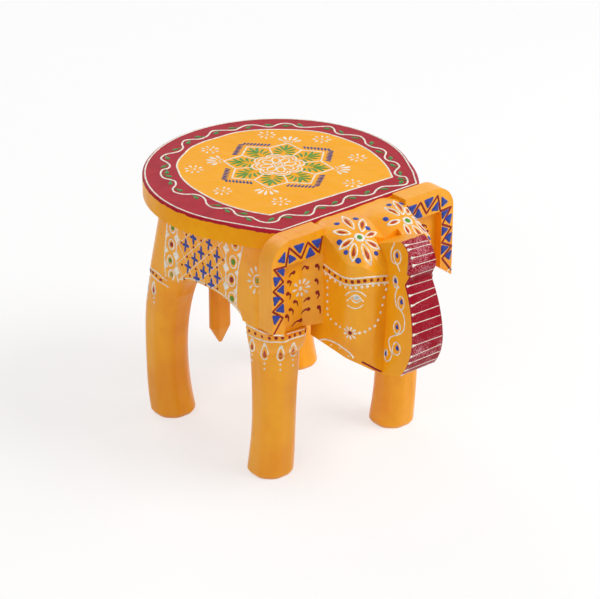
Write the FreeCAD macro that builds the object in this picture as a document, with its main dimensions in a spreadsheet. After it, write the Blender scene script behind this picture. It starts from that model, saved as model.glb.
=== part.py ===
import FreeCAD, Part
import math
import os
import Sketcher

# Carved elephant stool, glued up from wooden blocks and painted.
# Millimetres. The floor is z = 0, the head looks along -Y and the elephant's left is +X.
# The origin lies on the floor under the middle of the bounding box.

SIZES = [
    ("overall_height", 203.2, "floor to the top of the seat"),
    ("front_plane", 51.5, "from the origin forward to the seat's chord, where head and ears are glued on"),
    ("seat_radius", 99.3, "round rear stretch of the seat"),
    ("seat_centre", 33.9, "centre of that round stretch, behind the origin"),
    ("seat_thickness", 15.0, "seat plank"),
    ("seat_flank", 13.6, "where the round stretch ends, ahead of the origin"),
    ("seat_corner_inset", 35.0, "from the seat's widest point in to the ends of the chord"),
    ("seat_side_radius", 122.0, "shallow curve from the round stretch to the corner"),
    ("seat_edge_round", 1.5, "worn upper edge of the plank"),
    ("leg_length", 128.0, "floor to the joint between leg and body"),
    ("body_top_half", 72.0, "half width of the body under the seat"),
    ("body_low_half", 79.5, "half width of the body at the legs"),
    ("body_top_rear", 100.0, "rear of the body under the seat"),
    ("body_low_rear", 103.0, "rear of the body at the legs"),
    ("rear_cut_top", 20.0, "flat carved on the rear corners, under the seat"),
    ("rear_cut_low", 15.5, "flat carved on the rear corners, at the legs"),
    ("front_cut_top", 17.0, "flat carved on the front corners, under the seat"),
    ("front_cut_low", 9.0, "flat carved on the front corners, at the legs"),
    ("belly_front", 25.0, "front end of the belly arch, ahead of the origin"),
    ("belly_rear", 50.0, "rear end of the belly arch"),
    ("belly_rise", 9.8, "height of the belly arch over the joint"),
    ("tunnel_half", 29.0, "half width of the arch between left and right legs"),
    ("tunnel_rise", 5.0, "height of that arch"),
    ("front_foot_x", 59.4, "middle of the front feet"),
    ("front_foot_y", 31.0, "middle of the front feet, ahead of the origin"),
    ("rear_foot_x", 61.2, "middle of the rear feet"),
    ("rear_foot_y", 87.6, "middle of the rear feet"),
    ("foot_bevel", 1.6, "worn lower edge of a foot"),
    ("shin_half", 15.5, "half width of a leg at its thinnest"),
    ("thigh_half", 17.3, "half width of a leg under its flare"),
    ("shoulder_cut", 4.0, "flat carved on the rear corners of the front legs' flares"),
    ("front_lean", 5.6, "the front legs lean forward over their feet"),
    ("rear_bow", 6.0, "the rear legs bow backward"),
    ("shoulder_gap", 8.0, "between the head's side and the front leg's flare"),
    ("shoulder_front", 65.4, "front of the front leg's flare, ahead of the origin"),
    ("haunch_inner", 33.0, "inner face of the rear leg's flare"),
    ("head_half", 38.0, "half width of the head"),
    ("head_front", 105.0, "front of the face, ahead of the origin"),
    ("brow_drop", 30.2, "top of the seat down to the foot of the forehead domes"),
    ("chin_front", 110.0, "height of the cheeks' lower edge at the face"),
    ("chin_back", 113.5, "height of the cheeks' lower edge at the body"),
    ("chin_drop", 14.0, "how far the chin hangs lower beside the trunk"),
    ("face_cut", 11.0, "flat carved on the face's upright edges"),
    ("dome_groove", 5.5, "depth of the groove between the domes"),
    ("trunk_left", 18.0, "left side of the trunk at its lower end"),
    ("trunk_right", 15.5, "right side of the trunk at its lower end"),
    ("trunk_crown_half", 10.5, "half thickness of the trunk at its top"),
    ("trunk_front", 133.2, "foremost point of the trunk"),
    ("trunk_bulge", 130.0, "height of the foremost point"),
    ("trunk_heel", 44.0, "radius of the trunk's front under the foremost point"),
    ("trunk_housing", 88.0, "back of the trunk's housing in the forehead"),
    ("crown_drop", 0.2, "top of the seat down to the top of the trunk"),
    ("crown_front", 116.0, "top of the trunk, ahead of the origin"),
    ("lip_front", 128.0, "lip of the curled tip, ahead of the origin"),
    ("lip_drop", 20.2, "top of the seat down to that lip"),
    ("notch_drop", 30.7, "top of the seat down to the notch under the lip"),
    ("trunk_hem", 101.5, "height of the trunk's lower front corner"),
    ("trunk_tip", 95.6, "lowest point of the trunk"),
    ("trunk_curl", 19.0, "radius of the curled tip"),
    ("ear_reach", 5.5, "how far the ears stand out past the body's sides at the legs"),
    ("ear_thickness", 14.5, "ear boards"),
    ("ear_corner", 18.0, "round upper corner of the ears"),
    ("ear_frame", 11.5, "raised border at the outer edge"),
    ("ear_band", 19.0, "raised border at the top"),
    ("ear_recess", 6.0, "depth of the sunk middle"),
    ("ear_root", 15.0, "sloping strip beside the head"),
    ("ear_hem_run", 13.0, "sloping end of the lower edge"),
    ("left_tip_rise", 1.0, "left ear's tip over the legs"),
    ("left_hem_rise", 11.0, "left ear's hem over the legs"),
    ("right_tip_rise", 6.5, "right ear's tip over the legs"),
    ("right_hem_rise", 0.5, "right ear's hem over the legs"),
    ("recess_round", 4.0, "inner corner of the sunk middle"),
    ("tail_half", 9.0, "half width of the tail"),
    ("tail_depth", 11.5, "tail, front to back"),
    ("tail_let_in", 1.5, "depth of the tail's housing under the seat"),
    ("tail_offset", 2.0, "the tail hangs a little to the right of the middle"),
    ("tail_drop", 10.2, "underside of the seat down to the top of the tail"),
    ("tail_shoulder", 46.5, "height where the point begins"),
    ("tail_tip", 32.5, "lowest point of the tail"),
    ("tail_tip_half", 1.4, "half width of the blunt point"),
    ("leg_dowel_radius", 5.0, "dowels in the legs"),
    ("leg_dowel_length", 48.0, "dowels in the legs"),
    ("peg_radius", 4.0, "dowels in seat, head, trunk, ears and tail"),
    ("peg_length", 24.0, "the same"),
    ("ear_peg_bite", 5.5, "how deep a dowel goes into an ear or the tail"),
    ("glue_gap", 0.1, "room for glue round a dowel"),
    ("glue_end", 1.0, "room for glue at a dowel's ends"),
]

# Shares of a piece's own sizes, chosen by hand.
SOFT_SHARE = 0.36
OCTAGON_CUT_SHARE = 0.55
FOREHEAD_SHARES = [
    # run forward, rise of the crest over the brow, fall at the side, depth of the groove
    (0.00, 0.965, 0.12, 0.10),
    (0.27, 0.975, 0.15, 0.30),
    (0.50, 0.915, 0.38, 0.60),
    (0.72, 0.720, 0.48, 0.95),
    (0.89, 0.440, 0.36, 0.80),
    (1.00, 0.070, 0.06, 0.10),
]
CREST_SHARE = 0.5
LEG_SHARES = {
    # height, shift forward or back, swell from the shin to the thigh
    "front": [(0.02, 0.00, 0.61), (0.14, 0.36, 0.36), (0.28, 0.67, 0.08), (0.45, 0.86, 0.05),
              (0.62, 1.00, 0.39), (0.83, 1.00, 1.00)],
    "rear": [(0.02, 0.00, 0.61), (0.14, 0.60, 0.36), (0.28, 0.93, 0.08), (0.45, 0.98, 0.05),
             (0.62, 0.68, 0.39), (0.83, -0.45, 1.00)],
}
FLARE_SHARES = {
    # height, flare of the sides and rear, flare of the front
    "front": [(0.92, 0.80, 0.90), (1.00, 1.00, 1.00)],
    "rear": [(0.94, 0.80, 0.35), (1.00, 1.00, 1.00)],
}
# How much of the left front leg's flare is carved away on each of its front corners.
LEFT_SHOULDER_SHARE = 0.43
PEG_SHARES = {
    "seat_bite": 0.6, "seat_aside": 0.62, "seat_front": 0.4, "seat_rear": 0.7, "head_aside": 0.55,
    "head_height": 0.35, "ear_low": 0.36, "ear_high": 0.7, "trunk_low": 0.25, "trunk_high": 0.72,
    "tail_height": 0.5,
}
TRUNK_BED_SHARE = 0.62
# Radius of the trunk's front for each millimetre from its foremost point up to the notch.
TRUNK_CURVE_SHARE = 2.1176
EAR_ROOT_SHARE = 0.1
TAIL_CUT_SHARE = 0.44
TAIL_SWELL_SHARE = 1.04
TOUCHING = 1e-4
QUARTER_SHARE = math.sqrt(0.5)


class Formula:
    """A size that knows its value and how the spreadsheet writes it."""

    def __init__(self, text, value):
        self.text = text
        self.value = value

    def __float__(self):
        return float(self.value)

    def __add__(self, other):
        other = formula(other)
        return Formula(f"({self.text} + {other.text})", self.value + other.value)

    def __sub__(self, other):
        other = formula(other)
        return Formula(f"({self.text} - {other.text})", self.value - other.value)

    def __mul__(self, other):
        other = formula(other)
        return Formula(f"({self.text} * {other.text})", self.value * other.value)

    def __neg__(self):
        return Formula(f"(-1 * {self.text})", -self.value)


def formula(size):
    return size if isinstance(size, Formula) else Formula(repr(size), size)


ZERO = Formula("0", 0.0)
document = FreeCAD.newDocument("elephant_stool")
sheet = document.addObject("Spreadsheet::Sheet", "sizes")
for row, (alias, number, meaning) in enumerate(SIZES, start=1):
    sheet.set(f"A{row}", alias)
    sheet.set(f"B{row}", str(number))
    sheet.set(f"C{row}", meaning)
    sheet.setAlias(f"B{row}", alias)
document.recompute()


def size(alias):
    return Formula(f"sizes.{alias}", float(sheet.get(alias)))


def bind(thing, path, value):
    thing.setExpression(path, formula(value).text)


def place(thing, x, y, z):
    """Bind where an object stands."""
    for axis, value in zip("xyz", (x, y, z)):
        bind(thing, "Placement.Base." + axis, value)
    return thing


# Heights and planes that several pieces share.
seat_underside = size("overall_height") - size("seat_thickness")
joint_height = size("leg_length")
front_face = -size("front_plane")
head_face = -size("head_front")
brow_height = size("overall_height") - size("brow_drop")
crown_height = size("overall_height") - size("crown_drop")
tail_top = seat_underside - size("tail_drop")
ear_outer = size("body_low_half") + size("ear_reach")
shoulder_inner = size("head_half") + size("shoulder_gap")
shoulder_middle_x = (shoulder_inner + size("body_low_half")) * 0.5
haunch_middle_x = (size("haunch_inner") + size("body_low_half")) * 0.5
tail_front = size("body_top_rear") - size("tail_let_in")
body_height = seat_underside - joint_height
drill_extra = size("glue_end")


# Helpers for sketched pieces

def new_body(label):
    body = document.addObject("PartDesign::Body", label)
    body.Label = label
    return body


def sketch_on(body, role, name, x=ZERO, y=ZERO, out=ZERO):
    """A sketch on one of the body's own planes, moved along that plane's axes."""
    sketch = body.newObject("Sketcher::SketchObject", name)
    plane = [feature for feature in body.Origin.OriginFeatures if feature.Role == role][0]
    sketch.AttachmentSupport = (plane, [""])
    sketch.MapMode = "FlatFace"
    for axis, value in zip("xyz", (x, y, out)):
        bind(sketch, "AttachmentOffset.Base." + axis, value)
    return sketch


def vector(point):
    return FreeCAD.Vector(float(point[0]), float(point[1]), 0)


def tie(sketch, edge, end, name, x=None, y=None):
    """Hold one end of an edge at a distance from the sketch's axes."""
    for kind, value in (("DistanceX", x), ("DistanceY", y)):
        if value is not None:
            label = f"{name}_{kind[-1].lower()}"
            sketch.addConstraint(Sketcher.Constraint(kind, -1, 1, edge, end, float(value)))
            sketch.renameConstraint(sketch.ConstraintCount - 1, label)
            bind(sketch, "Constraints." + label, value)


def tie_radius(sketch, edge, name, radius):
    sketch.addConstraint(Sketcher.Constraint("Radius", edge, float(radius)))
    sketch.renameConstraint(sketch.ConstraintCount - 1, name)
    bind(sketch, "Constraints." + name, radius)


def join_ends(sketch, count):
    """Close a chain of edges, each starting where the last one ended."""
    for edge in range(count):
        sketch.addConstraint(Sketcher.Constraint("Coincident", edge, 2, (edge + 1) % count, 1))


def polygon(sketch, points, name="corner"):
    """A closed outline of straight edges with every corner bound."""
    count = len(points)
    for index, point in enumerate(points):
        sketch.addGeometry(Part.LineSegment(vector(point), vector(points[(index + 1) % count])), False)
    join_ends(sketch, count)
    for index, point in enumerate(points):
        tie(sketch, index, 1, f"{name}_{index}", *point)


def pad(body, sketch, length, name, midplane=False):
    feature = body.newObject("PartDesign::Pad", name)
    feature.Profile = sketch
    bind(feature, "Length", length)
    if midplane:
        feature.SideType = "Symmetric"
    document.recompute()
    return feature


def pocket(body, sketch, length, name, reverse=False):
    """Cut a sketch into the body and make sure that wood was taken away."""
    before = body.Shape.Volume
    feature = body.newObject("PartDesign::Pocket", name)
    feature.Profile = sketch
    feature.Reversed = reverse
    bind(feature, "Length", length)
    document.recompute()
    if body.Shape.Volume >= before:
        raise RuntimeError(f"{name} cuts nothing")
    return feature


def bored(body, role, name, spots, radius, depth, out=ZERO, reverse=False):
    """Round holes for dowels, all drilled from one plane."""
    sketch = sketch_on(body, role, name + "_marks", out=out)
    for index, spot in enumerate(spots):
        circle = Part.Circle(vector(spot), FreeCAD.Vector(0, 0, 1), float(radius))
        sketch.addGeometry(circle, False)
        tie(sketch, index, 3, f"spot_{index}", *spot)
        tie_radius(sketch, index, f"bore_{index}", radius)
    return pocket(body, sketch, depth, name, reverse)


# Helpers for carved pieces

def softened(corners, lift):
    """A closed wire round the corners, each turned into an arc that reaches a share of its sides."""
    count = len(corners)
    points = [FreeCAD.Vector(u, v, 0) for u, v in corners]
    sides = [(points[(i + 1) % count] - points[i]).Length for i in range(count)]
    reach = SOFT_SHARE * min(sides)
    edges = []
    last = None
    first = None
    for i, corner in enumerate(points):
        toward_last = (points[i - 1] - corner).normalize()
        toward_next = (points[(i + 1) % count] - corner).normalize()
        start = corner + toward_last * reach
        end = corner + toward_next * reach
        half_turn = (math.pi - toward_last.getAngle(toward_next)) / 2
        inward = (toward_last + toward_next).normalize()
        radius = reach / math.tan(half_turn)
        apex = corner + inward * (radius / math.cos(half_turn) - radius)
        start, apex, end = lift(start), lift(apex), lift(end)
        if last is not None:
            edges.append(Part.LineSegment(last, start).toShape())
        edges.append(Part.Arc(start, apex, end).toShape())
        first = first or start
        last = end
    edges.append(Part.LineSegment(last, first).toShape())
    return Part.Wire(edges)


def level_section(low_x, high_x, low_y, high_y, height, front_cut, rear_cut):
    """A level outline: a rectangle whose corners are cut off, all corners softened."""
    corners = [
        (low_x + front_cut, low_y), (high_x - front_cut, low_y),
        (high_x, low_y + front_cut), (high_x, high_y - rear_cut),
        (high_x - rear_cut, high_y), (low_x + rear_cut, high_y),
        (low_x, high_y - rear_cut), (low_x, low_y + front_cut),
    ]
    return softened(corners, lambda p: FreeCAD.Vector(p.x, p.y, height))


def round_section(middle_x, middle_y, height, half):
    """The nearly round outline of a leg, as eight soft facets."""
    cut = OCTAGON_CUT_SHARE * half
    return level_section(middle_x - half, middle_x + half, middle_y - half, middle_y + half,
                         height, cut, cut)


def carved(label, shape, x=0, y=0):
    """A solid shaped with a knife, kept as a document object that stands at its own place."""
    thing = document.addObject("Part::Feature", label)
    thing.Shape = shape
    thing.Placement = FreeCAD.Placement(FreeCAD.Vector(x, y, 0), FreeCAD.Rotation())
    return thing


AXIS_TURNS = {
    "z": FreeCAD.Rotation(),
    "y": FreeCAD.Rotation(FreeCAD.Vector(1, 0, 0), -90),
    "x": FreeCAD.Rotation(FreeCAD.Vector(0, 1, 0), 90),
}


def rod(name, radius, length, start, axis):
    """A round rod that starts at a point and runs along +X, +Y or +Z."""
    cylinder = document.addObject("Part::Cylinder", name)
    cylinder.Placement = FreeCAD.Placement(FreeCAD.Vector(), AXIS_TURNS[axis])
    bind(cylinder, "Radius", radius)
    bind(cylinder, "Height", length)
    return place(cylinder, *start)


def block(name, low, high):
    """A box between two corners."""
    box = document.addObject("Part::Box", name)
    for side, near, far in zip(("Length", "Width", "Height"), low, high):
        bind(box, side, formula(far) - near)
    return place(box, *low)


def cut_away(label, base, tools):
    """The base less all the tools, checked by volume."""
    result = base
    for number, tool in enumerate(tools, start=1):
        cutting = document.addObject("Part::Cut", f"{label}_cut_{number}")
        cutting.Base = result
        cutting.Tool = tool
        document.recompute()
        if cutting.Shape.Volume >= result.Shape.Volume:
            raise RuntimeError(f"{tool.Name} cuts nothing from {label}")
        result = cutting
    base.Label = label + "_blank"
    result.Label = label
    return result


# Dowels: where each one starts, which way it runs and how it is divided between its two pieces

SIDES = (("left", 1), ("right", -1))
leg_dowel_half = size("leg_dowel_length") * 0.5
peg_half = size("peg_length") * 0.5
seat_peg_bite = size("seat_thickness") * PEG_SHARES["seat_bite"]
seat_peg_x = size("body_top_half") * PEG_SHARES["seat_aside"]
seat_peg_front = -(size("front_plane") * PEG_SHARES["seat_front"])
seat_peg_rear = size("body_top_rear") * PEG_SHARES["seat_rear"]
head_peg_x = size("head_half") * PEG_SHARES["head_aside"]
head_peg_height = joint_height + body_height * PEG_SHARES["head_height"]
ear_peg_x = size("head_half") + size("peg_radius") + size("glue_gap") + size("glue_end") * 2
ear_peg_heights = [joint_height + body_height * PEG_SHARES[name] for name in ("ear_low", "ear_high")]
face_height = brow_height - size("chin_front")
trunk_peg_heights = [size("chin_front") + face_height * PEG_SHARES[name]
                     for name in ("trunk_low", "trunk_high")]
tail_peg_height = joint_height + body_height * PEG_SHARES["tail_height"]


def leg_middle(end, side):
    """Where the top of a leg has its dowel."""
    if end == "front":
        return shoulder_middle_x * side, -(size("front_foot_y") + size("front_lean"))
    return haunch_middle_x * side, size("rear_foot_y")


def hole(name, radius, length, start, axis):
    """The bore for a dowel, a little wider and longer than the dowel."""
    moved = list(start)
    index = "xyz".index(axis)
    moved[index] = formula(start[index]) - size("glue_end")
    return rod(name, radius + size("glue_gap"), length + size("glue_end") * 2, moved, axis)


def peg_group(label, starts, length, axis):
    """Equal dowels that share one node."""
    rods = [rod(f"{label}_{i}", size("peg_radius"), length, start, axis) for i, start in enumerate(starts)]
    for item in rods:
        item.Label = item.Name + "_rod"
    if len(rods) == 1:
        rods[0].Label = label
        return rods[0]
    group = document.addObject("Part::Compound", label + "_group")
    group.Links = rods
    group.Label = label
    return group


def mirrored_pair(x, y, z):
    return [(x, y, z), (-x, y, z)]


seat_peg_foot = seat_underside + seat_peg_bite - size("peg_length")
seat_peg_starts = (mirrored_pair(seat_peg_x, seat_peg_front, seat_peg_foot)
                   + mirrored_pair(seat_peg_x, seat_peg_rear, seat_peg_foot))
head_peg_starts = mirrored_pair(head_peg_x, front_face - peg_half, head_peg_height)
ear_peg_starts = {
    side: [(ear_peg_x * sign, front_face - size("ear_peg_bite"), height) for height in ear_peg_heights]
    for side, sign in SIDES
}
trunk_peg_starts = [(ZERO, head_face - peg_half, height) for height in trunk_peg_heights]
tail_peg_back = tail_front + size("ear_peg_bite")
tail_peg_start = (-size("tail_offset"), tail_peg_back - size("peg_length"), tail_peg_height)


# The pieces

def seat_board():
    """D-shaped plank: a round rear, two shallow flanks and a straight chord at the head."""
    body = new_body("seat_board")
    place(body, ZERO, ZERO, seat_underside)
    outline = sketch_on(body, "XY_Plane", "seat_outline")
    radius, centre, flank = size("seat_radius"), size("seat_centre"), size("seat_flank")
    flank_x = math.sqrt(float(radius) ** 2 - float(centre + flank) ** 2)
    dip = math.atan2(float(centre + flank), flank_x)
    middle = FreeCAD.Vector(0, float(centre), 0)
    rear_circle = Part.Circle(middle, FreeCAD.Vector(0, 0, 1), float(radius))
    outline.addGeometry(Part.ArcOfCircle(rear_circle, -dip, math.pi + dip), False)
    corner = radius - size("seat_corner_inset")
    left_flank, left_corner = (-flank_x, -float(flank)), (-float(corner), float(front_face))
    right_flank, right_corner = (flank_x, -float(flank)), (float(corner), float(front_face))
    outline.addGeometry(bulging_arc(left_flank, left_corner, float(size("seat_side_radius"))), False)
    outline.addGeometry(Part.LineSegment(vector(left_corner), vector(right_corner)), False)
    outline.addGeometry(bulging_arc(right_corner, right_flank, float(size("seat_side_radius"))), False)
    join_ends(outline, outline.GeometryCount)
    tie(outline, 0, 3, "centre", ZERO, centre)
    tie_radius(outline, 0, "rear_radius", radius)
    tie(outline, 0, 1, "right_flank", y=-flank)
    tie(outline, 0, 2, "left_flank", y=-flank)
    tie(outline, 2, 1, "left_corner", -corner, front_face)
    tie(outline, 2, 2, "right_corner", corner, front_face)
    tie_radius(outline, 1, "left_side", size("seat_side_radius"))
    tie_radius(outline, 3, "right_side", size("seat_side_radius"))
    plank = pad(body, outline, size("seat_thickness"), "plank")
    spots = [(start[0], start[1]) for start in seat_peg_starts]
    bored(body, "XY_Plane", "seat_bores", spots, size("peg_radius") + size("glue_gap"),
          seat_peg_bite + size("glue_end"), reverse=True)
    rounding = body.newObject("PartDesign::Fillet", "seat_edge")
    top = float(size("overall_height"))
    names = [f"Edge{i}" for i, edge in enumerate(body.Shape.Edges, start=1)
             if all(abs(v.Z - top) < TOUCHING for v in edge.Vertexes)]
    rounding.Base = (body.Group[-2], names)
    bind(rounding, "Radius", size("seat_edge_round"))
    document.recompute()
    return body


def bulging_arc(start, end, radius):
    """The shorter arc between two points of an outline that runs anticlockwise."""
    start, end = vector(start), vector(end)
    chord = end - start
    outward = FreeCAD.Vector(chord.y, -chord.x, 0).normalize()
    middle = (start + end) * 0.5
    centre = middle - outward * math.sqrt(radius ** 2 - (chord.Length / 2) ** 2)
    circle = Part.Circle(centre, FreeCAD.Vector(0, 0, 1), radius)
    first = math.atan2(start.y - centre.y, start.x - centre.x)
    last = math.atan2(end.y - centre.y, end.x - centre.x)
    if last < first:
        last += 2 * math.pi
    return Part.ArcOfCircle(circle, first, last)


def body_block():
    """Drum-like block between seat and legs, arched under the belly."""
    low = level_section(-float(size("body_low_half")), float(size("body_low_half")), float(front_face),
                        float(size("body_low_rear")), float(joint_height),
                        float(size("front_cut_low")), float(size("rear_cut_low")))
    top = level_section(-float(size("body_top_half")), float(size("body_top_half")), float(front_face),
                        float(size("body_top_rear")), float(seat_underside),
                        float(size("front_cut_top")), float(size("rear_cut_top")))
    blank = carved("body_carving", Part.makeLoft([low, top], True, True))
    tools = [arch_tool("belly_arch", "x", -size("belly_front"), size("belly_rear"), size("belly_rise"),
                       size("body_low_half")),
             arch_tool("tunnel_arch", "y", -size("tunnel_half"), size("tunnel_half"),
                       size("tunnel_rise"), size("body_low_rear"))]
    for end in ("front", "rear"):
        for side, sign in SIDES:
            x, y = leg_middle(end, sign)
            tools.append(hole(f"body_bore_{end}_{side}", size("leg_dowel_radius"), size("leg_dowel_length"),
                              (x, y, joint_height - leg_dowel_half), "z"))
    for number, start in enumerate(seat_peg_starts + head_peg_starts):
        axis = "z" if number < len(seat_peg_starts) else "y"
        tools.append(hole(f"body_bore_{number}", size("peg_radius"), size("peg_length"), start, axis))
    for side, _ in SIDES:
        for number, start in enumerate(ear_peg_starts[side]):
            tools.append(hole(f"body_bore_ear_{side}_{number}", size("peg_radius"), size("peg_length"),
                              start, "y"))
    tail_left = size("tail_half") - size("tail_offset")
    tail_right = tail_left - size("tail_half") * 2
    tools.append(block("tail_housing", (tail_right, tail_front, joint_height - drill_extra),
                       (tail_left, size("body_low_rear") + drill_extra, tail_top)))
    tools.append(hole("body_bore_tail", size("peg_radius"), size("peg_length"), tail_peg_start, "y"))
    return cut_away("body_block", blank, tools)


def arch_tool(name, axis, start, end, rise, reach):
    """A lying rod with an oval section that takes a flat arch out of the underside."""
    middle, level = (float(start) + float(end)) / 2, float(joint_height)
    far = -float(reach) - float(drill_extra)
    run = FreeCAD.Vector(-2 * far, 0, 0) if axis == "x" else FreeCAD.Vector(0, -2 * far, 0)

    def at(along, height):
        return FreeCAD.Vector(far, along, height) if axis == "x" else FreeCAD.Vector(along, far, height)

    oval = Part.Ellipse(at(float(end), level), at(middle, level + float(rise)), at(middle, level))
    return carved(name, Part.Face(Part.Wire(oval.toShape())).extrude(run))


def leg(end, side, sign):
    """A carved leg with soft facets, standing at its foot's middle and flared where it meets the body."""
    if end == "front":
        foot_x, foot_y, shift = size("front_foot_x"), -size("front_foot_y"), -size("front_lean")
        top = {"inner": shoulder_inner, "front": -size("shoulder_front"), "rear": -size("belly_front"),
               "front_cut": size("front_cut_low"), "rear_cut": size("shoulder_cut")}
        if side == "left":
            top["front_cut"] = (size("body_low_half") - shoulder_inner) * LEFT_SHOULDER_SHARE
    else:
        foot_x, foot_y, shift = size("rear_foot_x"), size("rear_foot_y"), size("rear_bow")
        top = {"inner": size("haunch_inner"), "front": size("belly_rear"), "rear": size("body_low_rear"),
               "front_cut": size("rear_cut_low"), "rear_cut": size("rear_cut_low")}
    top["outer"] = size("body_low_half")
    top = {name: float(value) for name, value in top.items()}
    foot_x, foot_y, shift = float(foot_x), float(foot_y), float(shift)
    shin, thigh = float(size("shin_half")), float(size("thigh_half"))
    column = [round_section(0, shift_share * shift, height_share * float(joint_height),
                            shin + swell_share * (thigh - shin))
              for height_share, shift_share, swell_share in LEG_SHARES[end]]
    foot = shin + LEG_SHARES[end][0][2] * (thigh - shin)
    sole = round_section(0, 0, 0, foot - float(size("foot_bevel")))
    flare = [column[-1]]
    neck_y, neck_cut = foot_y + LEG_SHARES[end][-1][1] * shift, OCTAGON_CUT_SHARE * thigh
    neck = {"inner": foot_x - thigh, "outer": foot_x + thigh, "front": neck_y - thigh,
            "rear": neck_y + thigh, "front_cut": neck_cut, "rear_cut": neck_cut}
    for height_share, sides_share, front_share in FLARE_SHARES[end]:
        shares = {name: sides_share for name in top} | {"front": front_share}
        now = {name: neck[name] + shares[name] * (top[name] - neck[name]) for name in top}
        low_x, high_x = sorted((sign * (now["inner"] - foot_x), sign * (now["outer"] - foot_x)))
        flare.append(level_section(low_x, high_x, now["front"] - foot_y, now["rear"] - foot_y,
                                   height_share * float(joint_height), now["front_cut"], now["rear_cut"]))
    label = f"leg_{end}_{side}"
    stretches = [Part.makeLoft([sole, column[0]], True, True), Part.makeLoft(column, True, False),
                 Part.makeLoft(flare, True, False)]
    whole = stretches[0].fuse(stretches[1:]).removeSplitter()
    blank = carved(label + "_carving", whole, sign * foot_x, foot_y)
    dowel_x, dowel_y = leg_middle(end, sign)
    bore = hole(label + "_bore", size("leg_dowel_radius"), size("leg_dowel_length"),
                (dowel_x, dowel_y, joint_height - leg_dowel_half), "z")
    return cut_away(label, blank, [bore])


def head_section(run, crest, fall, groove, chin, chin_middle):
    """An upright outline across the head: cheeks, two round crests with a groove, and a hanging chin."""
    half = float(size("head_half")) + float(drill_extra)
    middle = CREST_SHARE * half
    outer = half - middle
    left, right = float(size("trunk_left")), float(size("trunk_right"))

    def at(x, z):
        return FreeCAD.Vector(x, run, z)

    edges = [Part.LineSegment(at(-right, chin_middle), at(left, chin_middle)).toShape()]
    for sign, beside_trunk in ((1, left), (-1, right)):
        side_low, side_top = at(sign * half, chin), at(sign * half, crest - fall)
        shoulder = at(sign * (middle + QUARTER_SHARE * outer), crest - fall + QUARTER_SHARE * fall)
        top = at(sign * middle, crest)
        slope = at(sign * (middle - QUARTER_SHARE * middle), crest - groove + QUARTER_SHARE * groove)
        edges += [
            Part.LineSegment(at(sign * beside_trunk, chin_middle), side_low).toShape(),
            Part.LineSegment(side_low, side_top).toShape(),
            Part.Arc(side_top, shoulder, top).toShape(),
            Part.Arc(top, slope, at(0, crest - groove)).toShape(),
        ]
    return Part.Wire(Part.__sortEdges__(edges))


def head_block():
    """Cheeks and chin with two forehead domes, housed for the trunk."""
    brow = float(brow_height)
    rise = float(size("overall_height")) - brow
    back = float(front_face)
    depth = float(head_face) - float(drill_extra) - back
    chin_back, chin_front = float(size("chin_back")), float(size("chin_front"))
    wires = []
    for run, crest, fall, groove in FOREHEAD_SHARES:
        chin = chin_back + run * (chin_front - chin_back)
        wires.append(head_section(back + run * depth, brow + crest * rise, fall * rise,
                                  groove * float(size("dome_groove")), chin,
                                  chin - run ** 2 * float(size("chin_drop"))))
    half, cut = float(size("head_half")), float(size("face_cut"))
    plan = [level_section(-half, half, float(head_face), float(drill_extra), height, cut, cut)
            for height in (0, float(size("overall_height")) + float(drill_extra))]
    cheeks = Part.makeLoft(plan, True, True)
    blank = carved("head_carving", Part.makeLoft(wires, True, False).common(cheeks))
    tools = [trunk_bed()]
    for number, start in enumerate(head_peg_starts + trunk_peg_starts):
        tools.append(hole(f"head_bore_{number}", size("peg_radius"), size("peg_length"), start, "y"))
    return cut_away("head_block", blank, tools)


def trunk_half(side, height):
    """How far one side of the trunk stands from the middle at a height."""
    low, high = float(size("trunk_tip") - drill_extra), float(crown_height + drill_extra)
    wide, thin = float(size(f"trunk_{side}")), float(size("trunk_crown_half"))
    return wide + (thin - wide) * (height - low) / (high - low)


def trunk_bed():
    """The trunk's housing between the forehead domes, as wide as the trunk at every height."""
    front = float(head_face) - float(drill_extra)
    foot, top = float(brow_height), float(size("overall_height") + drill_extra)
    corners = (("right", -1, foot), ("left", 1, foot), ("left", 1, top), ("right", -1, top))
    rim = [FreeCAD.Vector(sign * trunk_half(side, height), front, height) for side, sign, height in corners]
    depth = FreeCAD.Vector(0, -float(size("trunk_housing")) - front, 0)
    return carved("trunk_bed", Part.Face(Part.makePolygon([*rim, rim[0]])).extrude(depth))


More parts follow.
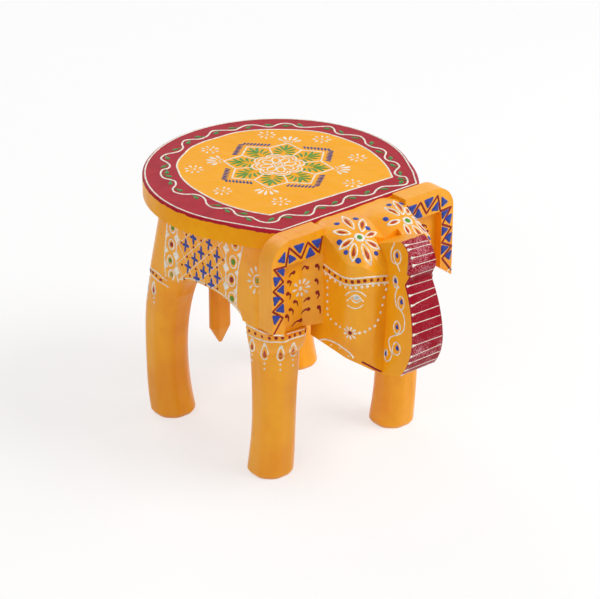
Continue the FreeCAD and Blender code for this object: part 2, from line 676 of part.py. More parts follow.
def trunk():
    """A slab on the middle of the face: bulging front, notch and curled tip, thinner towards the top."""
    body = new_body("trunk")
    outline = sketch_on(body, "YZ_Plane", "trunk_profile")
    front, bulge = size("trunk_front"), size("trunk_bulge")
    notch, hem = size("overall_height") - size("notch_drop"), size("trunk_hem")
    front_radius = (notch - bulge) * TRUNK_CURVE_SHARE
    lip = (-size("lip_front"), size("overall_height") - size("lip_drop"))
    crown = (-size("crown_front"), crown_height)
    bed_back = -size("trunk_housing")
    bed_rise = (crown_height - brow_height) * TRUNK_BED_SHARE
    corners = [
        (head_face, size("trunk_tip")),
        (head_face, brow_height),
        (bed_back, brow_height),
        (bed_back, brow_height + bed_rise),
        crown,
    ]

    def on_front(radius, height):
        """The point of a front arc at a height; both arcs are upright at the foremost point."""
        offset = float(height) - float(bulge)
        reach = math.sqrt(float(radius) ** 2 - offset ** 2)
        return float(radius) - float(front) - reach, float(height)

    hem_point = on_front(size("trunk_heel"), hem)
    notch_point = on_front(front_radius, notch)
    foremost = (-float(front), float(bulge))
    edges = [Part.LineSegment(vector(hem_point), vector(corners[0]))]
    edges += [Part.LineSegment(vector(a), vector(b)) for a, b in zip(corners, corners[1:])]
    edges += [
        bulging_arc(crown, lip, float(size("trunk_curl"))),
        Part.LineSegment(vector(lip), vector(notch_point)),
        bulging_arc(notch_point, foremost, float(front_radius)),
        bulging_arc(foremost, hem_point, float(size("trunk_heel"))),
    ]
    for edge in edges:
        outline.addGeometry(edge, False)
    curl, under_lip, curve, heel = range(len(corners), len(edges))
    join_ends(outline, len(edges))
    for index, corner in enumerate(corners):
        tie(outline, index + 1, 1, f"corner_{index}", *corner)
    tie(outline, under_lip, 1, "lip", *lip)
    tie_radius(outline, curl, "curl", size("trunk_curl"))
    tie(outline, curve, 3, "curve", front_radius - front, bulge)
    tie_radius(outline, curve, "curve_radius", front_radius)
    tie(outline, heel, 3, "heel", size("trunk_heel") - front, bulge)
    tie(outline, curve, 1, "notch", y=notch)
    tie(outline, heel, 2, "hem", y=hem)
    tie(outline, heel, 1, "foremost", y=bulge)
    pad(body, outline, size("trunk_left") * 2, "slab", midplane=True)
    for side, sign in SIDES:
        plane_side(body, side, sign)
    spots = [(start[0], start[2]) for start in trunk_peg_starts]
    bored(body, "XZ_Plane", "trunk_bores", spots, size("peg_radius") + size("glue_gap"),
          peg_half + size("glue_end"), out=size("head_front"), reverse=True)
    return body


def plane_side(body, side, sign):
    """Plane one side of the trunk down to its slope, thinner towards the top."""
    low, high = size("trunk_tip") - drill_extra, crown_height + drill_extra
    outside = size("trunk_left") + drill_extra
    wedge = [(size(f"trunk_{side}"), low), (outside, low), (outside, high), (size("trunk_crown_half"), high)]
    sketch = sketch_on(body, "XZ_Plane", f"trunk_{side}_side", out=size("trunk_housing") - drill_extra)
    polygon(sketch, [(x * sign, z) for x, z in wedge])
    length = size("trunk_front") - size("trunk_housing") + drill_extra * 2
    pocket(body, sketch, length, f"trunk_{side}_taper", reverse=True)


def ear(side, sign):
    """A board beside the head: raised border, sunk middle that slopes up to the cheek, pointed lower tip."""
    body = new_body(f"ear_{side}")
    place(body, ZERO, front_face, ZERO)
    inner, outer = size("head_half"), ear_outer
    top, corner = size("overall_height"), size("ear_corner")
    tip = joint_height + size(f"{side}_tip_rise")
    hem = joint_height + size(f"{side}_hem_rise")
    hem_x = outer - size("ear_hem_run")
    outline = sketch_on(body, "XZ_Plane", f"ear_{side}_outline")
    points = [(outer - corner, top), (inner, top), (inner, hem), (hem_x, hem), (outer, tip),
              (outer, top - corner)]
    mirrored = [(x * sign, z) for x, z in points]
    for start, end in zip(mirrored, mirrored[1:]):
        outline.addGeometry(Part.LineSegment(vector(start), vector(end)), False)
    round_centre = ((outer - corner) * sign, top - corner)
    circle = Part.Circle(vector(round_centre), FreeCAD.Vector(0, 0, 1), float(corner))
    quarter = (0, math.pi / 2) if sign == 1 else (math.pi / 2, math.pi)
    arc = outline.addGeometry(Part.ArcOfCircle(circle, *quarter), False)
    lines = len(mirrored) - 1
    for edge in range(lines - 1):
        outline.addConstraint(Sketcher.Constraint("Coincident", edge, 2, edge + 1, 1))
    low_end, high_end = (1, 2) if sign == 1 else (2, 1)
    outline.addConstraint(Sketcher.Constraint("Coincident", lines - 1, 2, arc, low_end))
    outline.addConstraint(Sketcher.Constraint("Coincident", arc, high_end, 0, 1))
    for index, point in enumerate(mirrored[:-1]):
        tie(outline, index, 1, f"corner_{index}", *point)
    tie(outline, lines - 1, 2, "corner_last", *mirrored[-1])
    tie_radius(outline, arc, "round", corner)
    pad(body, outline, size("ear_thickness"), f"ear_{side}_board")
    sink(body, side, sign)
    spots = [(start[0], start[2]) for start in ear_peg_starts[side]]
    bored(body, "XZ_Plane", f"ear_{side}_bores", spots, size("peg_radius") + size("glue_gap"),
          size("ear_peg_bite") + size("glue_end"), reverse=True)
    return body


def sink(body, side, sign):
    """Sink the ear's middle from below, up to the raised border."""
    front = -size("ear_thickness")
    inner = size("head_half")
    frame_x = ear_outer - size("ear_frame")
    floor = front + size("ear_recess")
    plan = [
        (inner - drill_extra, front - drill_extra),
        (inner - drill_extra, front + size("ear_recess") * EAR_ROOT_SHARE),
        (inner, front + size("ear_recess") * EAR_ROOT_SHARE),
        (inner + size("ear_root"), floor),
        (frame_x, floor),
        (frame_x, front - drill_extra),
    ]
    start = joint_height - drill_extra
    sketch = sketch_on(body, "XY_Plane", f"ear_{side}_sunk_plan", out=start)
    polygon(sketch, [(x * sign, y) for x, y in plan])
    height = size("overall_height") - size("ear_band") - start
    pocket(body, sketch, height, f"ear_{side}_sunk", reverse=True)
    corner_x, corner_z = float(frame_x) * sign, float(size("overall_height") - size("ear_band"))
    names = [f"Edge{i}" for i, edge in enumerate(body.Shape.Edges, start=1)
             if all(abs(v.X - corner_x) < TOUCHING and abs(v.Z - corner_z) < TOUCHING
                    for v in edge.Vertexes)]
    rounding = body.newObject("PartDesign::Fillet", f"ear_{side}_corner")
    rounding.Base = (body.Group[-2], names)
    bind(rounding, "Radius", size("recess_round"))
    document.recompute()


def tail():
    """A faceted hanging stick with a blunt point, let into the rear of the body."""
    half, tip = float(size("tail_half")), float(size("tail_tip_half"))
    depth, front = float(size("tail_depth")), float(tail_front)
    aside = -float(size("tail_offset"))
    middle = depth / 2
    cut = TAIL_CUT_SHARE * half
    outline = [(half, depth, float(tail_top), cut),
               (half, depth, float(joint_height), cut),
               (half * TAIL_SWELL_SHARE, depth, float(size("tail_shoulder")), cut),
               (tip, tip * 2, float(size("tail_tip")), TAIL_CUT_SHARE * tip)]
    wires = [level_section(-wide, wide, middle - deep / 2, middle + deep / 2, height, corner, corner)
             for wide, deep, height, corner in outline]
    blank = carved("tail_carving", Part.makeLoft(wires, True, True), aside, front)
    bore = hole("tail_bore", size("peg_radius"), size("peg_length"), tail_peg_start, "y")
    return cut_away("tail", blank, [bore])


def dowels():
    """All the dowels, one node for each leg and one for each glued joint elsewhere."""
    made = []
    for end in ("front", "rear"):
        for side, sign in SIDES:
            x, y = leg_middle(end, sign)
            dowel = rod(f"leg_dowel_{end}_{side}", size("leg_dowel_radius"), size("leg_dowel_length"),
                        (x, y, joint_height - leg_dowel_half), "z")
            made.append(dowel)
    made.append(peg_group("seat_dowels", seat_peg_starts, size("peg_length"), "z"))
    made.append(peg_group("head_dowels", head_peg_starts, size("peg_length"), "y"))
    made.append(peg_group("trunk_dowels", trunk_peg_starts, size("peg_length"), "y"))
    for side, _ in SIDES:
        made.append(peg_group(f"ear_dowels_{side}", ear_peg_starts[side], size("peg_length"), "y"))
    made.append(peg_group("tail_dowel", [tail_peg_start], size("peg_length"), "y"))
    return made


def write_parts(nodes):
    """Write one file for each node, once every object of the document is sound."""
    document.recompute()
    for thing in document.Objects:
        if "Invalid" in thing.State or "Error" in thing.State:
            raise RuntimeError(f"{thing.Label} failed: {thing.State}")
    for node in nodes:
        if node.Shape.isNull() or not node.Shape.isValid():
            raise RuntimeError(f"{node.Label} has no valid shape")
    os.makedirs("parts", exist_ok=True)
    for node in nodes:
        node.Shape.exportStep(f"parts/{node.Label}.step")
        print(node.Label, len(node.Shape.Solids), round(node.Shape.Volume), node.Shape.BoundBox)


pieces = [seat_board(), body_block()]
pieces += [leg(end, side, sign) for end in ("front", "rear") for side, sign in SIDES]
pieces += [head_block(), trunk()]
pieces += [ear(side, sign) for side, sign in SIDES]
pieces.append(tail())
pieces += dowels()
write_parts(pieces)
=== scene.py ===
"""Carved elephant stool: enamel, raised pattern, floor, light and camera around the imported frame."""

import math
import random

import bmesh
import bpy
from bpy.props import FloatProperty, FloatVectorProperty, IntProperty, PointerProperty
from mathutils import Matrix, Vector
from mathutils.bvhtree import BVHTree


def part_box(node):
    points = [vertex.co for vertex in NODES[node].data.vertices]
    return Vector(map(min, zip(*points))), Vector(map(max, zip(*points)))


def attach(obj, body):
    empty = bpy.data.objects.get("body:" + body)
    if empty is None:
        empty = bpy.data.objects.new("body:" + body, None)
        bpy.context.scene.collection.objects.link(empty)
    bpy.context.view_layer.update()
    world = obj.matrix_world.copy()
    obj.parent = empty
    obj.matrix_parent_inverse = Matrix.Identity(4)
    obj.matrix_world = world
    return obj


bl_info = {
    "name": "Carved Elephant Stool",
    "version": (1, 0, 0),
    "blender": (4, 5, 0),
    "location": "View3D > Sidebar > Stool",
    "description": "Paints the carved elephant stool with its bands, flowers and borders",
    "category": "Object",
}

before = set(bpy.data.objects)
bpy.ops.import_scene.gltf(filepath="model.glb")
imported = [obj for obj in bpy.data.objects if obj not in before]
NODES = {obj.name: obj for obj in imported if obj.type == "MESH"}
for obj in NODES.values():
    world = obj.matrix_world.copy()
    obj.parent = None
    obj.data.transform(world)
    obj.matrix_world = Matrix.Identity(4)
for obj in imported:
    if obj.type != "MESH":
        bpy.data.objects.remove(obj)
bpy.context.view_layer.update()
SEAT_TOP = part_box("seat_board")[1].z
MM = 0.001
FULL_TURN = 2 * math.pi
SIDES = (1, -1)

# The ways a flat drawing looks at the wood: out of it, across it and up it
FROM_SIDE = ((-1, 0, 0), (0, 1, 0), (0, 0, 1))
FROM_FRONT = ((0, -1, 0), (1, 0, 0), (0, 0, 1))
FROM_ABOVE = ((0, 0, 1), (1, 0, 0), (0, 1, 0))
CAST_FROM = 300  # millimetres off the wood
LEG_CAST_FROM = 60


# Sizes and colours that a user would change


def length(name, description, default):
    """A size in metres, shown with its unit."""
    return FloatProperty(
        name=name, description=description, default=default, min=0, precision=5, unit="LENGTH"
    )


def tint(name, description, default):
    """A paint colour."""
    return FloatVectorProperty(
        name=name, description=description, default=default, size=3, min=0, max=1, subtype="COLOR"
    )


class StoolSizes(bpy.types.PropertyGroup):
    """Widths and heights of the raised paint."""

    width: FloatProperty(name="Width", description="Widens or narrows every line", default=1, min=0.2, max=2)
    relief: length("Relief", "How far a line stands above the wood", 0.0004)
    bead_relief: length("Bead relief", "How far a dot stands above the wood", 0.0006)
    step: length("Step", "Distance between two points along a line", 0.0011)
    skin: length("Skin", "Thickness of the flat seat field", 0.00012)
    stroke_sides: IntProperty(name="Stroke sides", description="Sides of a drawn line", default=8, min=4)
    bead_sides: IntProperty(name="Bead sides", description="Sides of a dot", default=8, min=4)
    seed: IntProperty(name="Seed", description="Picks the unsteadiness of the hand", default=7)


class StoolColours(bpy.types.PropertyGroup):
    """Enamels and woods of the stool."""

    orange: tint("Orange", "Enamel of the wood", (0.95, 0.41, 0.007))
    amber: tint("Amber", "Where the enamel lies thick", (0.85, 0.28, 0.004))
    crimson: tint("Crimson", "Border of the seat", (0.42, 0.010, 0.028))
    wine: tint("Wine", "Front of the trunk", (0.33, 0.003, 0.016))
    # Pale flecks of painted highlight, laid on the wine of the trunk's low bulge and curled tip
    highlight_flecks: tint("Blush", "Pale grains in the wine", (0.74, 0.34, 0.40))
    cream: tint("Cream", "White lines and dots", (0.95, 0.90, 0.79))
    green: tint("Green", "Leaves on orange", (0.10, 0.31, 0.020))
    moss: tint("Moss", "Leaves on crimson", (0.035, 0.24, 0.035))
    blue: tint("Blue", "Triangles, crosses and drops", (0.024, 0.060, 0.38))
    navy: tint("Navy", "Dashes round the star", (0.030, 0.030, 0.19))
    pearl: tint("Pearl", "Middle of the eye", (0.60, 0.62, 0.62))
    maroon: tint("Maroon", "Zigzag, commas and small dots", (0.30, 0.012, 0.010))
    rust: tint("Rust", "Strokes inside the petals", (0.50, 0.045, 0.010))
    olive: tint("Olive", "Hearts of the flowers", (0.36, 0.33, 0.05))
    pine: tint("Pine", "Wood of the dowels", (0.52, 0.32, 0.15))
    bare: tint("Bare wood", "Worn spots", (0.30, 0.12, 0.03))
    floor: tint("Floor", "Pale floor", (0.86, 0.86, 0.86))


CLOUD_ROUGHNESS = 0.55
CONE_COLOURS = ("cream", "green", "moss", "blue", "navy", "pearl", "maroon", "rust", "wine", "olive")


def sizes():
    return bpy.context.scene.stool_sizes


def colours():
    return bpy.context.scene.stool_colours


# Nodes and paint


def grow(tree, kind, settings=None, sockets=None):
    """A node of a tree: its settings first, then the values or links of its sockets."""
    node = tree.nodes.new(kind)
    for key, value in (settings or {}).items():
        setattr(node, key, value)
    for key, value in (sockets or {}).items():
        socket = socket_of(node, key)
        if isinstance(value, Value):
            value = value.socket
        if isinstance(value, bpy.types.NodeSocket):
            tree.links.new(value, socket)
        else:
            socket.default_value = value
    return node


def socket_of(node, key):
    """An input by its number, identifier or name."""
    if isinstance(key, int):
        return node.inputs[key]
    for socket in node.inputs:
        if socket.identifier == key:
            return socket
    return node.inputs[key]


class Value:
    """A number inside a paint: arithmetic on it adds the maths to the recipe."""

    def __init__(self, recipe, socket):
        self.recipe = recipe
        self.socket = socket

    def reckon(self, operation, *terms):
        node = self.recipe.add("ShaderNodeMath", {"operation": operation}, dict(enumerate(terms)))
        return Value(self.recipe, node.outputs[0])

    def __add__(self, other):
        return self.reckon("ADD", self, other)

    def __sub__(self, other):
        return self.reckon("SUBTRACT", self, other)

    def __rsub__(self, other):
        return self.reckon("SUBTRACT", other, self)

    def __mul__(self, other):
        return self.reckon("MULTIPLY", self, other)

    def larger(self, other):
        return self.reckon("MAXIMUM", self, other)

    __radd__ = __add__
    __rmul__ = __mul__


class Recipe:
    """The nodes of a paint or of the room's light."""

    def __init__(self, holder):
        holder.use_nodes = True
        self.holder = holder
        self.tree = holder.node_tree
        self.tree.nodes.clear()

    def add(self, kind, settings=None, sockets=None):
        """Any node that the methods below don't cover."""
        return grow(self.tree, kind, settings, sockets)

    def point(self):
        """The point on the piece."""
        return self.add("ShaderNodeTexCoord").outputs["Object"]

    def part_of(self, vector, axis):
        """One of a vector's three numbers."""
        return Value(self, self.add("ShaderNodeSeparateXYZ", None, {0: vector}).outputs[axis])

    def noise(self, size, shift=(0, 0, 0), detail=3.0, scale=(1, 1, 1)):
        """Cloudy values round a half, with spots of about one size in millimetres."""
        sockets = {"Vector": self.point(), "Scale": scale, "Location": shift}
        place = self.add("ShaderNodeMapping", None, sockets).outputs[0]
        sockets = {"Vector": place, "Scale": 1 / (size * MM), "Detail": detail, "Roughness": CLOUD_ROUGHNESS}
        return Value(self, self.add("ShaderNodeTexNoise", None, sockets).outputs[0])

    def ramp(self, value, low, high, to_low=0.0, to_high=1.0):
        """The value spread from one range to another and cut off there."""
        sockets = {"Value": value, "From Min": low, "From Max": high, "To Min": to_low, "To Max": to_high}
        node = self.add("ShaderNodeMapRange", {"clamp": True, "interpolation_type": "SMOOTHSTEP"}, sockets)
        return Value(self, node.outputs[0])

    def blend(self, share, first, second):
        """A colour between two, by a share."""
        sockets = {"Factor_Float": share, "A_Color": opaque(first), "B_Color": opaque(second)}
        return self.add("ShaderNodeMix", {"data_type": "RGBA"}, sockets).outputs[2]

    def seen(self):
        """1 where the camera or a mirror image looks, 0 for the soft light that falls on the stool."""
        path = self.add("ShaderNodeLightPath").outputs
        straight, mirrored, through = (
            Value(self, path[f"Is {kind} Ray"]) for kind in ("Camera", "Glossy", "Transmission")
        )
        return straight.larger(mirrored).larger(through)

    def finish(self, colour, roughness, height, depth, specular=0.5):
        """The shader, with its bump, and the finished material."""
        bump = self.add("ShaderNodeBump", None, {"Height": height, "Distance": depth, "Strength": 1.0})
        sockets = {
            "Base Color": colour,
            "Roughness": roughness,
            "Normal": bump.outputs[0],
            "Specular IOR Level": specular,
        }
        shader = self.add("ShaderNodeBsdfPrincipled", None, sockets)
        self.add("ShaderNodeOutputMaterial", None, {"Surface": shader.outputs[0]})
        return self.holder


def material_recipe(name):
    return Recipe(bpy.data.materials.new(name))


def opaque(colour):
    """A colour with its fourth number, or the link it already is."""
    return colour if isinstance(colour, bpy.types.NodeSocket) else (*colour[:3], 1.0)


def dimmed(colour, share):
    return tuple(part * share for part in colour)


def enamel(name, streak, shift, wash=0.5):
    """Glossy orange enamel over carved wood, brushed along one direction."""
    paint = colours()
    recipe = material_recipe(name)
    cloud = recipe.noise(45, shift)
    streaks = recipe.noise(9, shift, 5, streak)
    coarse = recipe.noise(16, shift, 2)
    fine = recipe.noise(1.2, shift, 2)
    thick = recipe.ramp(cloud, 0.38, 0.68) * wash + recipe.ramp(streaks, 0.4, 0.7) * wash * 0.5
    colour = recipe.blend(thick, paint.orange, paint.amber)
    spots = recipe.ramp(recipe.noise(3.5, shift, 2), 0.775, 0.79)
    colour = recipe.blend(spots * wash, colour, paint.bare)
    roughness = 0.24 + streaks * 0.14 + spots * 0.3
    height = coarse * 0.7 + streaks * 0.3 + fine * 0.05
    return recipe, colour, roughness, height


def orange_enamel(name, streak, shift, wash=0.5, gloss=0.4):
    recipe, colour, roughness, height = enamel(name, streak, shift, wash)
    return recipe.finish(colour, roughness, height, depth=0.0014, specular=gloss)


def seat_enamel():
    """The plank: crimson on top and over its upper edge, orange on the sides."""
    paint = colours()
    recipe, colour, roughness, height = enamel("Plank enamel", (1, 1, 1), (0.3, 0.1, 0))
    level = recipe.part_of(recipe.point(), "Z")
    wander = recipe.noise(7, (0.4, 0, 0), 2)
    top = recipe.ramp(level + wander * 0.0030, SEAT_TOP - 0.0006, SEAT_TOP - 0.0002)
    cloud = recipe.ramp(recipe.noise(12), 0.35, 0.7)
    wash = recipe.blend(cloud, paint.crimson, dimmed(paint.crimson, 0.86))
    colour = recipe.blend(top, colour, wash)
    return recipe.finish(colour, roughness, height, depth=0.0006, specular=0.07)


def trunk_enamel():
    """The trunk: orange sides, wine on its front and over its curled tip, with pale flecks of painted
    highlight on the wine's low bulge and curled tip.
    """
    paint = colours()
    recipe, colour, roughness, height = enamel("Trunk enamel", (1, 1, 0.3), (0.1, 0.7, 0), wash=0.3)
    aside = recipe.part_of(recipe.add("ShaderNodeNewGeometry").outputs["Normal"], "X")
    depth, level = (recipe.part_of(recipe.point(), axis) for axis in "YZ")
    flank = recipe.ramp(aside * aside, 0.25, 0.4)
    wander = recipe.noise(6, (0.2, 0, 0), 2)
    ahead = recipe.ramp(depth + wander * 0.0012, -0.1150, -0.1162)
    tip = recipe.ramp(level, 0.1800, 0.1815)
    curl = recipe.ramp(depth + wander * 0.0016, -0.1232, -0.1240)
    front = ahead * (1 - flank) + curl * tip * flank
    # grain, low, high and pale lay pale flecks of painted highlight on the wine, only round its low bulge and
    # its curled tip; grain also roughens the bump
    grain = recipe.ramp(recipe.noise(0.9, detail=4), 0.47, 0.61)
    wavy = level + wander * 0.006
    low = recipe.ramp(wavy, 0.142, 0.124, 0.14, 1.0)
    high = recipe.ramp(wavy, 0.176, 0.188, 0.0, 0.95)
    pale = grain * recipe.ramp(recipe.noise(14, (0.7, 0.3, 0), 2), 0.34, 0.58) * low.larger(high)
    colour = recipe.blend(front, colour, recipe.blend(pale * 0.85, paint.wine, paint.highlight_flecks))
    height = height + front * grain * 0.12
    return recipe.finish(colour, roughness, height, depth=0.0009, specular=0.3 - front * 0.24)


def bead_paint(name, colour):
    """Thick paint from a cone: glossy, a little uneven in tone."""
    recipe = material_recipe(name)
    cloud = recipe.noise(2.5, (0.5, 0.2, 0), 2)
    mixed = recipe.blend(recipe.ramp(cloud, 0.35, 0.7), colour, dimmed(colour, 0.75))
    fine = recipe.noise(0.8, detail=2)
    return recipe.finish(mixed, 0.26 + cloud * 0.16, fine, depth=0.0001, specular=0.25)


def dowel_wood():
    """Plain turned wood with its grain along the dowel."""
    pine = colours().pine
    recipe = material_recipe("Dowel wood")
    grain = recipe.noise(2.2, detail=4, scale=(0.2, 0.2, 0.2)) + recipe.noise(0.7, scale=(1, 1, 0.2)) * 0.4
    mixed = recipe.blend(recipe.ramp(grain, 0.5, 0.9), pine, dimmed(pine, 0.6))
    return recipe.finish(mixed, 0.55 + grain * 0.1, grain, depth=0.0002)


# Laying flat drawings on carved wood


class Face:
    """A carved face to draw on: a flat point (u, v), in millimetres, is cast onto the wood.

    Every drawing is of the elephant's right side; side -1 casts it onto the left one.
    """

    def __init__(self, pieces, out, across, up, side=1):
        self.wood = shell_of(pieces)
        self.out = Vector(out).normalized()
        self.across = Vector(across).normalized()
        self.up = Vector(up).normalized()
        self.side = side

    def flat(self, point):
        """The drawing point of a place in space."""
        return Vector(point).dot(self.across), Vector(point).dot(self.up)

    def flats(self, points):
        return [self.flat(point) for point in points]

    def start(self, u, v):
        return self.across * u + self.up * v + self.out * CAST_FROM, -self.out

    def touch(self, u, v):
        """The wood under a drawing point and its normal, or None beside the wood."""
        start, aim = self.start(u, v)
        flip = Vector((self.side, 1, 1))
        place, normal, _, _ = self.wood.ray_cast(start * flip * MM, aim * flip)
        return None if place is None else (place, normal)


class Round(Face):
    """The outside of a leg: u runs round it, v is the height."""

    def __init__(self, pieces, centre, radius, side):
        super().__init__(pieces, (-1, 0, 0), (0, -1, 0), (0, 0, 1), side)
        self.centre = Vector((*centre, 0))
        self.radius = radius

    def flat(self, point):
        arm = Vector(point) - self.centre
        return self.radius * math.atan2(arm.dot(self.across), arm.dot(self.out)), arm.z

    def start(self, u, v):
        turn = u / self.radius
        aside = self.out * math.cos(turn) + self.across * math.sin(turn)
        return self.centre + aside * LEG_CAST_FROM + self.up * v, -aside


def shell_of(pieces):
    """The surface of some frame pieces, ready for casting."""
    shell = bmesh.new()
    for piece in pieces:
        shell.from_mesh(NODES[piece].data)
    tree = BVHTree.FromBMesh(shell)
    shell.free()
    return tree


def facing(pieces, out, side):
    """A face seen square on from one direction."""
    across = Vector((0, 0, 1)).cross(Vector(out)).normalized()
    return Face(pieces, out, across, Vector(out).normalized().cross(across), side)


def of_side(piece, side):
    """The name of a piece that comes in a right and a left one."""
    return f"{piece}_{'right' if side > 0 else 'left'}"


# Paths


def spline(points, step, closed=False):
    """Even steps along a smooth curve through points."""
    count = len(points)
    spans = count if closed else count - 1
    way = []
    for index in range(spans):
        near = [points[(index + shift) % count] for shift in (-1, 0, 1, 2)]
        if not closed:
            near[0] = points[max(index - 1, 0)]
            near[3] = points[min(index + 2, count - 1)]
        pieces = max(2, round(apart(near[1], near[2]) / step))
        way.extend(bend(near, piece / pieces) for piece in range(pieces))
    if not closed:
        way.append(tuple(points[-1]))
    return way


def bend(near, share):
    """A point of the smooth curve between the middle two of four points."""
    weights = (
        (-share + 2 * share**2 - share**3) / 2,
        (2 - 5 * share**2 + 3 * share**3) / 2,
        (share + 4 * share**2 - 3 * share**3) / 2,
        (-(share**2) + share**3) / 2,
    )
    return tuple(sum(w * p[axis] for w, p in zip(weights, near)) for axis in range(2))


def paced(points, gap):
    """Spots an even gap apart along a smooth curve."""
    way = spline(points, 0.3)
    spots = [way[0]]
    run = 0
    for start, end in zip(way, way[1:]):
        run += apart(start, end)
        if run >= gap:
            spots.append(end)
            run = 0
    return spots


def corners(points, step, closed=False):
    """Even steps along straight runs between points."""
    way = []
    ring = [*points, points[0]] if closed else list(points)
    for start, end in zip(ring, ring[1:]):
        pieces = max(1, round(apart(start, end) / step))
        way.extend(between(start, end, piece / pieces) for piece in range(pieces))
    if not closed:
        way.append(tuple(ring[-1]))
    return way


def apart(start, end):
    return math.hypot(end[0] - start[0], end[1] - start[1])


def heading(start, end):
    return math.atan2(end[1] - start[1], end[0] - start[0])


def between(start, end, share):
    return (start[0] + (end[0] - start[0]) * share, start[1] + (end[1] - start[1]) * share)


def middle_of(points):
    return tuple(sum(point[axis] for point in points) / len(points) for axis in range(2))


def turned(centre, angle, x, y=0):
    """A point of a motif, turned by an angle and set down on its centre."""
    return (
        centre[0] + x * math.cos(angle) - y * math.sin(angle),
        centre[1] + x * math.sin(angle) + y * math.cos(angle),
    )


def oval(centre, count, half_u, half_v, angle=0):
    """Points evenly round an oval."""
    turns = [FULL_TURN * number / count for number in range(count)]
    return [turned(centre, angle, half_u * math.cos(turn), half_v * math.sin(turn)) for turn in turns]


def tear(share):
    """Width of a drop along its length: a thin tail and a full head."""
    return max(0.12, math.sin(math.pi * min(share**1.6, 0.97)) ** 0.75)


def spindle(share):
    """Width of a leaf stroke along its length: thin at both ends."""
    return max(0.12, math.sin(math.pi * share) ** 0.8)


def comma(share):
    """Width of a comma along its length: from a fine tail to its head."""
    return 0.25 + share * 0.75


def even(share):
    return 1.0


# The cone that lays raised paint, with its widths, radii and heights in millimetres

# Distances between the points of a ring, a drop and a shape's rim, and the widest gap that a line crosses
RING_STEP = 0.8
DROP_STEP = 0.7
SHAPE_STEP = 1.2
JUMP = 4
# Below this radius a bead is also lower
SMALL_BEAD = 0.7
# How deep a filled shape's rim and its middle sit in the wood
SHAPE_LIP = 0.15
SHAPE_ROOT = 0.3
# Shares by which the hand is unsteady in a width, radius or reach
STROKE_WAVER = 0.12
POINT_WAVER = 0.07
BEAD_WAVER = 0.1
PETAL_WAVER = 0.06


